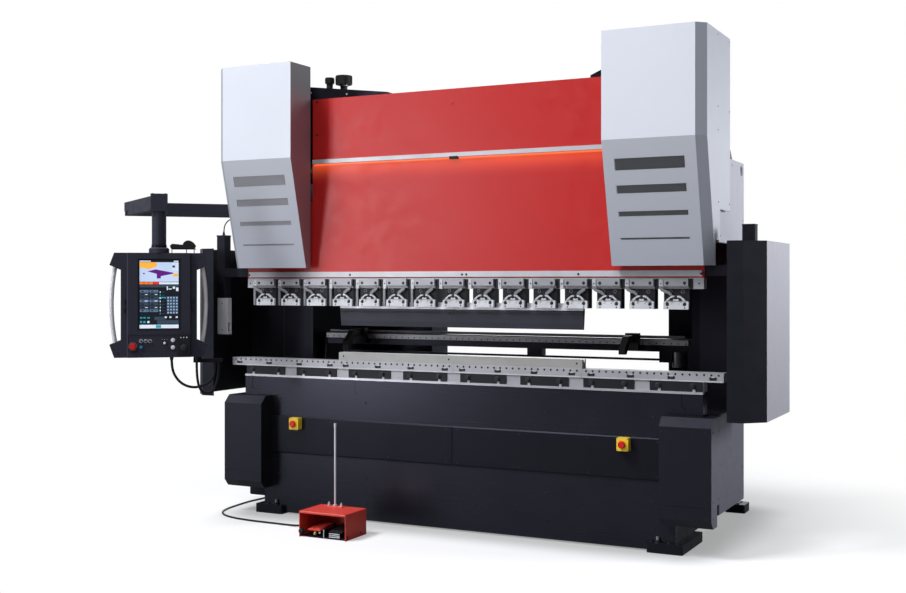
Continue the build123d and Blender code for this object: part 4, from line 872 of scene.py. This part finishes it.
def screen_picture():
    """A plain control page: a bent profile above, a table and a keypad below."""
    work = Work("screen_picture", "panel", "screen_glass", *PAGE)

    def mark(u0, u1, z0, z1, lift, tone):
        work.block(u0, u1, GLASS - lift, GLASS, z0, z1, 0, finish=tone)

    sky, amber, violet, orange, red, white, slate, blue, teal, dark = range(10)
    mark(-118, 118, 1240, 1660, 0.3, dark)
    mark(-116, -50, 1651, 1658, 0.5, white)
    mark(88, 116, 1650, 1658, 0.5, white)
    mark(-117, 117, 1528, 1648, 0.5, sky)
    sheet = [(-117, 1647), (-14, 1647), (-14, 1622), (-60, 1606), (-117, 1616)]
    work.add(cut_plate(sheet, GLASS - 0.7, GLASS, 0), finish=amber)
    profile = [(-70, 1592), (-20, 1604), (84, 1584), (84, 1578)]
    profile += [(10, 1562), (10, 1548), (-14, 1548), (-14, 1576)]
    work.add(cut_plate(profile, GLASS - 0.8, GLASS, 0), finish=violet)
    mark(-96, -86, 1574, 1582, 0.7, violet)
    for row in range(3):
        for column in range(2):
            u = 80 + column * 20
            z = 1632 - row * 16
            mark(u, u + 15, z, z + 12, 0.7, dark if (row, column) == (1, 0) else white)
    mark(84, 114, 1560, 1578, 0.6, amber)
    for i in range(3):
        mark(-117 + i * 28, -92 + i * 28, 1512, 1525, 0.6, orange)
    mark(-33, -2, 1512, 1525, 0.6, red)
    mark(0, 117, 1512, 1525, 0.6, white)
    mark(-117, 117, 1493, 1509, 0.5, slate)
    for column in range(2):
        for row in range(7):
            u = -115 + column * 58
            z = 1462 - row * 20
            mark(u, u + 52, z, z + 15, 0.5, slate if row % 3 else blue)
            mark(u + 8, u + 24, z + 4, z + 11, 0.7, dark)
            mark(u + 32, u + 46, z + 5, z + 9, 0.7, white if row % 2 else slate)
    for row in range(8):
        mark(4, 9, 1326 + row * 19, 1336 + row * 19, 0.6, white if row % 3 else teal)
        mark(16, 34, 1329 + row * 19, 1333 + row * 19, 0.6, slate)
    mark(-2, 40, 1424, 1434, 0.5, teal)
    signs = ((46, 52, 1476, 1500), (56, 76, 1480, 1486), (82, 96, 1484, 1498), (102, 116, 1470, 1492))
    for u0, u1, z0, z1 in signs:
        mark(u0, u1, z0, z1, 0.7, white)
    for row in range(6):
        for column in range(4):
            u = 47 + column * 17.5
            z = 1330 + row * 18.5
            mark(u, u + 14, z, z + 14, 0.6, blue)
            mark(u + 5, u + 9, z + 4, z + 10, 0.8, white)
    for u in (-114, -94, -70):
        mark(u, u + 14, 1302, 1310, 0.6, teal)
        mark(u, u + 12, 1274, 1286, 0.6, white if u > -80 else teal)
    mark(-28, 40, 1292, 1312, 0.5, slate)
    for u in (34, 62, 100):
        mark(u, u + 12, 1304, 1314, 0.6, white)
    mark(-12, 117, 1268, 1290, 0.5, slate)
    mark(-117, 117, 1241, 1263, 0.5, white)
    mark(-20, 12, 1243, 1261, 0.7, teal)
    return work.done(ON_POLE, smooth=0)


def panel_fittings():
    """The panel's buttons, switches, latches, seams and cable glands."""
    finishes = (BLACK_PLASTIC, BUTTON_RED, BUTTON_BLUE, BUTTON_PALE, GREY_STEEL, PANEL_BLACK)
    work = Work("panel_fittings", "panel", "black_plastic", *finishes)
    strip = -55
    stop = round_head(23, 12, sides=32, edge=0.3)
    work.add(stop, ahead(-157, -73, 1130), 1)
    work.add(ring(26, 22.4, 5, 32), ahead(-157, strip, 1130), 4)
    work.add(round_head(9.5, 9, sides=24, edge=0.2), ahead(-107, strip, 1125), 2)
    for u in (-107, -80, -54):
        work.add(ring(11.5, 9, 3, 24), ahead(u, strip, 1163), 3)
        work.add(round_head(7.5, 8, sides=20, edge=0.2), ahead(u, strip, 1163))
        work.block(u - 1.2, u + 1.2, strip - 9, strip - 7.9, 1163, 1169, 0.2, finish=3)
    work.add(round_head(8, 10, 20, 0.3), ahead(33, strip, 1149), 3)
    work.add(ring(13, 9.5, 2, 24), ahead(33, strip, 1149))
    for z in (1167, 1122):
        work.heads((ring(14.5, 12.2, 4, 28), 83, strip, z, 4), (round_head(12, 6, 28), 83, strip, z, 3))
    work.heads(*((round_head(4, 1.5, 14), u, -82, 1184, 3) for u in (130, 148, 166)))
    work.heads(*((round_head(1.8, 0.8, 8), u, strip, 1172, 3) for u in (18, 33, 48)))
    wheel = round_head(20, 4, sides=32, edge=0.3)
    work.add(wheel, ahead(148, -100, 1122), 5)
    grip = plate(-1.4, 1.4, 19.5, 22.8, 0, 16, 0.4)
    for i in range(24):
        turn = Matrix.Rotation(math.radians(15 * i), 4, "Z")
        work.add(grip, ahead(148, -83, 1122) @ turn, 5)
    work.add(round_head(4, 6, sides=16, edge=0.3), ahead(158, -104, 1128))
    for side in (-1, 1):
        for z in (1392, 1342):
            u = side * 205
            work.block(u - 8, u + 8, -46, -40, z, z + 31, 1.5)
            work.block(u - 5, u + 5, -48, -45.5, z + 9, z + 22, 0.8)
        for z in (1090, 1676):
            for seat in (ahead(side * 245, -40, z), spot(side * 245, 40, z) @ TO_REAR):
                work.add(socket_screw(4.5, 2), seat)
        for z in (1141, 1630):
            work.add(ring(17, 12, 7, 20), spot(side * 262, 0, z - 3.5))
    uprights = ((-130, -124, 1230, 1672), (124, 130, 1230, 1672))
    for u0, u1, z0, z1 in (*uprights, (-124, 124, 1230, 1236), (-124, 124, 1666, 1672)):
        work.block(u0, u1, -59, -58, z0, z1, 0.4)
    for u, v in ((76, 0), (228, -12)):
        gland = bmesh.new()
        cone(gland, 20, 9, 13, 22)
        rim = [e for e in gland.edges if abs(e.verts[0].co.z - e.verts[1].co.z) < 0.01]
        broken(gland, rim, 1.5, 2)
        work.add(gland, spot(u, v, 1050))
    work.block(-186, 186, 40, 43, 1120, 1650, 1.5, finish=5)
    for i in range(9):
        work.block(-60, 60, 43, 45, 1500 + i * 12, 1506 + i * 12, 0.8, finish=5)
    return work.done(ON_POLE)


def arm_fittings():
    """The screws on the arm's end block and the seam of the pole."""
    work = Work("arm_fittings", "arm_outer", "machine_black", BLACK_BOLT, MACHINE_BLACK)
    for u in (-38, 38):
        for v in (-34, 34):
            work.add(socket_screw(5, 3), spot(u, v, 2072))
    work.block(-1.5, 1.5, -45.2, -42, 1742, 1961, 0.4)
    work.add(ring(47, 44, 14, 40), spot(0, 0, 1742), 1)
    return work.done(ON_POLE)


def pedal_fittings():
    """The pedal hood's folded lip, the rod's flange with its bolts, and the screws and knob below."""
    finishes = (PEDAL_RED, BRIGHT_STEEL, BLACK_PLASTIC, BRASS, BLACK_BOLT)
    work = Work("pedal_fittings", "machine", "pedal_red", *finishes)
    work.block(-747, -426, -617.5, -611, 141, 154.5, 2.4)
    rod_x = -622
    rod_y = -413
    work.block(rod_x - 61, rod_x + 61, rod_y - 25, rod_y + 25, 156, 161, 1.2)
    for side in (-1, 1):
        work.add(hex_bolt(7.5, 14), spot(rod_x + side * 44, rod_y, 161), 1)
        work.add(round_head(3.8, 22, sides=12), spot(rod_x + side * 44, rod_y, 161), 1)
    work.add(ring(13, 6.2, 9, 20), spot(rod_x, rod_y, 161), 1)
    middle = (HOOD_LEFT + HOOD_RIGHT) / 2
    work.block(middle - 3, middle + 3, -597, -594.5, 4, 52, 0.6, finish=1)
    work.add(round_head(17, 16, sides=28, edge=0.3), ahead(-738, -600, 34), 2)
    work.add(round_head(6, 14, sides=16), ahead(-722, -586, 30), 4)
    work.add(hex_bolt(8, 12), ahead(middle - 62, -594, 24), 3)
    work.add(hex_bolt(5, 8), ahead(middle - 28, -594, 30), 1)
    for z in (10, 20, 30):
        work.block(middle + 36, middle + 112, -598, -594, z, z + 5, 0.8, finish=1)
    for y in (-590, -440):
        for side, facing in ((HOOD_LEFT, TO_LEFT), (HOOD_RIGHT, TO_RIGHT)):
            work.add(socket_screw(5.5, 2.5), spot(side, y, 22) @ facing, 4)
    for x in (-720, -453):
        work.add(socket_screw(5.5, 2.5), spot(x, -376, 22) @ TO_REAR, 4)
    return work.done()


def tread_plate(name, body, slot, middle, finish):
    """Raised ribs across a pedal's tread."""
    work = Work(name, body, slot, finish)
    low_y, low_z = -585, 44
    high_y, high_z = -445, 62
    lean = math.atan2(high_z - low_z, high_y - low_y)
    rib = plate(-40, 40, -2.2, 2.2, -0.5, 1.6, 0.5)
    for i in range(10):
        share = (i + 0.6) / 10
        seat = spot(middle, low_y + share * (high_y - low_y), low_z + share * (high_z - low_z))
        work.add(rib, seat @ Matrix.Rotation(lean, 4, "X"))
    return work.done(smooth=0)


def stop_collars():
    """The black collars under the stop buttons and the screws of their yellow boxes."""
    work = Work("stop_collars", "machine", "black_plastic", BLACK_PLASTIC, BLACK_BOLT)
    for x in (-1132, 1107):
        work.add(ring(16, 9.8, 1.2, 24), ahead(x, BUTTON_FACE, 603))
        for u in (-28, 28):
            for w in (-31, 31):
                work.add(socket_screw(2.6, 1), ahead(x + u, BUTTON_FACE, 603 + w), 1)
    return work.done()


def tank_fittings():
    """Ribbed grips on the tank's two caps, its seam screws and a level glass."""
    work = Work("tank_fittings", "machine", "black_plastic", BLACK_PLASTIC, BRIGHT_STEEL, BLACK_BOLT)
    for x, radius, low, tall in ((-1116, 30, 2876, 38), (-1003, 55, 2861, 58)):
        rib = plate(-1.6, 1.6, radius - 1, radius + 2.2, 4, tall - 4, 0.5)
        count = int(radius * 0.6)
        for i in range(count):
            turn = Matrix.Rotation(2 * math.pi * i / count, 4, "Z")
            work.add(rib, spot(x, 300, low) @ turn)
    work.add(ring(29, 24, 8, 28), spot(-1003, 300, 2850), 1)
    for x in (-1180, -900, -620):
        work.add(round_head(6, 2.5, sides=14), ahead(x, 170, 2742 + (-x - 600) * 0.1), 1)
    for x in (-1250, -600, 0, 600, 1250):
        for z in (2380, 2660):
            work.add(socket_screw(6, 3), spot(x, 500, z) @ TO_REAR, 2)
    work.block(560, 584, 500, 512, 2420, 2600, 3, finish=1)
    return work.done()


def rear_doors():
    """The doors of the two rear cabinets, with hinges, handles and louvres, and their tie-beam bolts."""
    work = Work("rear_doors", "machine", "machine_black", MACHINE_BLACK, BLACK_BOLT, GREY_STEEL)
    slat = plate(-90, 90, -3.5, 0.5, -3, 4, 1)
    for x0, x1, hinge in ((-1340, -787, -1340), (1013, 1340, 1340)):
        work.block(x0, x1, 1400, 1406, 712, 2088, 2)
        inward = 1 if hinge < 0 else -1
        for z in (860, 1400, 1940):
            work.add(round_head(7, 70, sides=16), spot(hinge - inward * 4, 1408, z - 35), 1)
        lock_x = (x1 if hinge < 0 else x0) - inward * 34
        work.block(lock_x - 13, lock_x + 13, 1406, 1416, 1350, 1450, 3, finish=1)
        work.block(lock_x - 6, lock_x + 6, 1416, 1428, 1366, 1434, 3, finish=2)
        for i in range(12):
            for z in (900, 1800):
                work.add(slat, spot((x0 + x1) / 2, 1410, z + i * 16) @ Matrix.Rotation(0.5, 4, "X"))
    bolt = hex_bolt(14, 14)
    for side in (-1, 1):
        for x in (1310, 700):
            for z in (160, 500):
                work.add(bolt, spot(side * x, 1400, z) @ TO_REAR, 1)
    return work.done()


def levelling_bolts():
    """A levelling bolt with its lock nut on every foot."""
    work = Work("levelling_bolts", "machine", "dark_steel", BLACK_BOLT, GREY_STEEL)
    bolt = hex_bolt(15, 16)
    small = socket_screw(8, 6)
    for side in (-1, 1):
        for y in (-66, 300):
            work.add(bolt, spot(side * 1300, y, 56))
        work.add(round_head(9, 34, sides=14), spot(side * 1300, -66, 56), 1)
        for x, y in ((1362, -66), (1262, -66), (1424, 1410), (1424, 1325)):
            work.add(small, spot(side * x, y, 56))
    return work.done()


def guard_backs():
    """A black sheet across the back of each guard, from the side cover to the guard's outer wall."""
    work = Work("guard_backs", "machine", "machine_black", GUARD_BLACK, BLACK_BOLT)
    for side in (-1, 1):
        for near, far, y0, y1 in ((1601, 1911, 501, 505), (1601, 1605, 503, 519), (1907, 1911, 503, 519)):
            work.block(side * near, side * far, y0, y1, 772, 1748, 1)
        for z in (800, 1110, 1420, 1720):
            for x in (1640, 1870):
                work.add(socket_screw(4.5, 1.6), spot(side * x, 505, z) @ TO_REAR, 1)
    return work.done()


def sensor_trim():
    """The window glass and end caps of the sensor heads, and the gland on the left post."""
    work = Work("sensor_trim", "ram", "black_plastic", BLACK_PLASTIC, SCREEN, BLACK_BOLT)
    for side in (-1, 1):
        work.block(side * 1756, side * 1762, 5, 31, 1190, 1248, 0.5, finish=1)
        work.block(side * 1761, side * 1835, -9.5, 59.5, 1838, 1846, 1.5)
        work.block(side * 1743, side * 1830, -9.5, 45.5, 1160, 1170, 1.5)
        for z in (1200, 1380):
            work.add(socket_screw(3.5, 1.5), ahead(side * 1786, -8, z), 2)
    gland = bmesh.new()
    cone(gland, 20, 10, 5.5, 26)
    work.add(gland, spot(-1798, 25, 1859))
    return work.done()


holder_trim()
clamp_levers()
ram_fittings()
work_light()
vent_screens()
cover_fittings()
bed_fittings()
gauge_fittings()
screen_picture()
panel_fittings()
arm_fittings()
pedal_fittings()
tread_plate("stop_tread", "left_pedal", "pedal_red", -662.5, PEDAL_RED)
tread_plate("run_tread", "right_pedal", "black_plastic", -510.5, BLACK_PLASTIC)
stop_collars()
tank_fittings()
rear_doors()
levelling_bolts()
guard_backs()
sensor_trim()


def painted_contact_shadow(tree, place, matt):
    """A shadow painted on the floor, deeper where the machine stands close over it."""
    parts = grown(tree, "SeparateXYZ", place)
    squares = []
    for axis, half in ((0, 1.42), (1, 0.70)):
        value = parts.outputs[axis]
        for operation, other in (("ABSOLUTE", 0.0), ("SUBTRACT", half), ("MAXIMUM", 0.0), ("POWER", 2.0)):
            value = grown(tree, "Math", value, other, operation=operation)
        squares.append(value)
    total = grown(tree, "Math", *squares, operation="ADD")
    away = grown(tree, "Math", total, operation="SQRT")
    # painted shadow: darkest at the footprint's edge and gone 0.42 m out
    shade = grown(tree, "MapRange", away, 0.0, 0.42, 0.62, 0.0, interpolation="SMOOTHERSTEP")
    dark = grown(tree, "BsdfDiffuse", (0.01, 0.01, 0.01, 1))
    return grown(tree, "MixShader", shade, matt, dark)


def studio_floor():
    """A pale floor that keeps the shadow near the object, with a painted shadow under the machine, and runs
    out into the white surround.
    """
    mesh = bpy.data.meshes.new("studio_floor")
    bm = bmesh.new()
    bmesh.ops.create_grid(bm, x_segments=1, y_segments=1, size=60.0)
    bm.to_mesh(mesh)
    bm.free()
    floor = placed("studio_floor", mesh)
    material = bpy.data.materials.new("studio_floor_white_with_painted_shadow")
    material.use_nodes = True
    tree = material.node_tree
    tree.nodes.clear()
    matt = grown(tree, "BsdfDiffuse", (0.90, 0.90, 0.905, 1))
    dim = grown(tree, "BsdfDiffuse", (0.27, 0.27, 0.28, 1))
    white = grown(tree, "Emission", (1, 1, 1, 1), 1.0)
    place = grown(tree, "TexCoord").outputs["Object"]
    far = grown(tree, "VectorMath", place, operation="LENGTH").outputs["Value"]
    fade = grown(tree, "MapRange", far, 1.7, 3.3, 0.30, 1.0)
    seen = grown(tree, "MixShader", fade, painted_contact_shadow(tree, place, matt), white)
    by_camera = grown(tree, "LightPath").outputs["Is Camera Ray"]
    grown(tree, "OutputMaterial", grown(tree, "MixShader", by_camera, dim, seen))
    floor.data.materials.append(material)


def studio_surround():
    """A white surround, dim in front of the object where the room lies behind the camera."""
    world = bpy.data.worlds.new("studio_surround")
    bpy.context.scene.world = world
    world.use_nodes = True
    tree = world.node_tree
    tree.nodes.clear()
    way = grown(tree, "TexCoord").outputs["Generated"]
    backwards = grown(tree, "SeparateXYZ", way).outputs["Y"]
    depth = grown(tree, "MapRange", backwards, -0.8, 0.5, 0.035, 0.75, interpolation="SMOOTHSTEP")
    rays = grown(tree, "LightPath").outputs
    level = grown(tree, "MapRange", rays["Is Glossy Ray"], 0.0, 1.0, 0.30, 1.1)
    amount = grown(tree, "Math", depth, level, operation="MULTIPLY")
    soft = grown(tree, "Background", (0.94, 0.96, 1, 1), amount)
    plain = grown(tree, "Background", (1, 1, 1, 1), 1.0)
    grown(tree, "OutputWorld", grown(tree, "MixShader", rays["Is Camera Ray"], soft, plain))


def lamps():
    """A high key and a low sheen on the left, a weak fill in front, and lamps at the right and rear."""
    for name, place, aim, wide, tall, power in (
        ("key_lamp", (-6.2, -8.4, 14.0), (0.0, -0.6, 1.4), 5.0, 5.0, 2700.0),
        ("fill_lamp", (2.2, -9.0, 8.5), (0.0, -0.6, 1.4), 4.0, 4.0, 340.0),
        ("sheen_lamp", (-5.2, -8.2, 2.3), (-0.4, -0.6, 1.4), 1.5, 4.2, 175.0),
        ("side_lamp", (8.5, 2.4, 3.3), (1.6, 0.0, 1.5), 2.4, 2.4, 430.0),
        ("back_lamp", (-3.0, 8.0, 4.5), (0.0, 0.0, 1.3), 5.0, 5.0, 260.0),
    ):
        data = bpy.data.lights.new(name, "AREA")
        data.shape = "RECTANGLE"
        data.size = wide
        data.size_y = tall
        data.energy = power
        data.color = (0.95, 0.965, 1.0)
        lamp = placed(name, data)
        lamp.location = place
        lamp.rotation_euler = (Vector(aim) - Vector(place)).to_track_quat("-Z", "Y").to_euler()


studio_floor()
studio_surround()
lamps()
bpy.context.scene.view_settings.view_transform = "Standard"
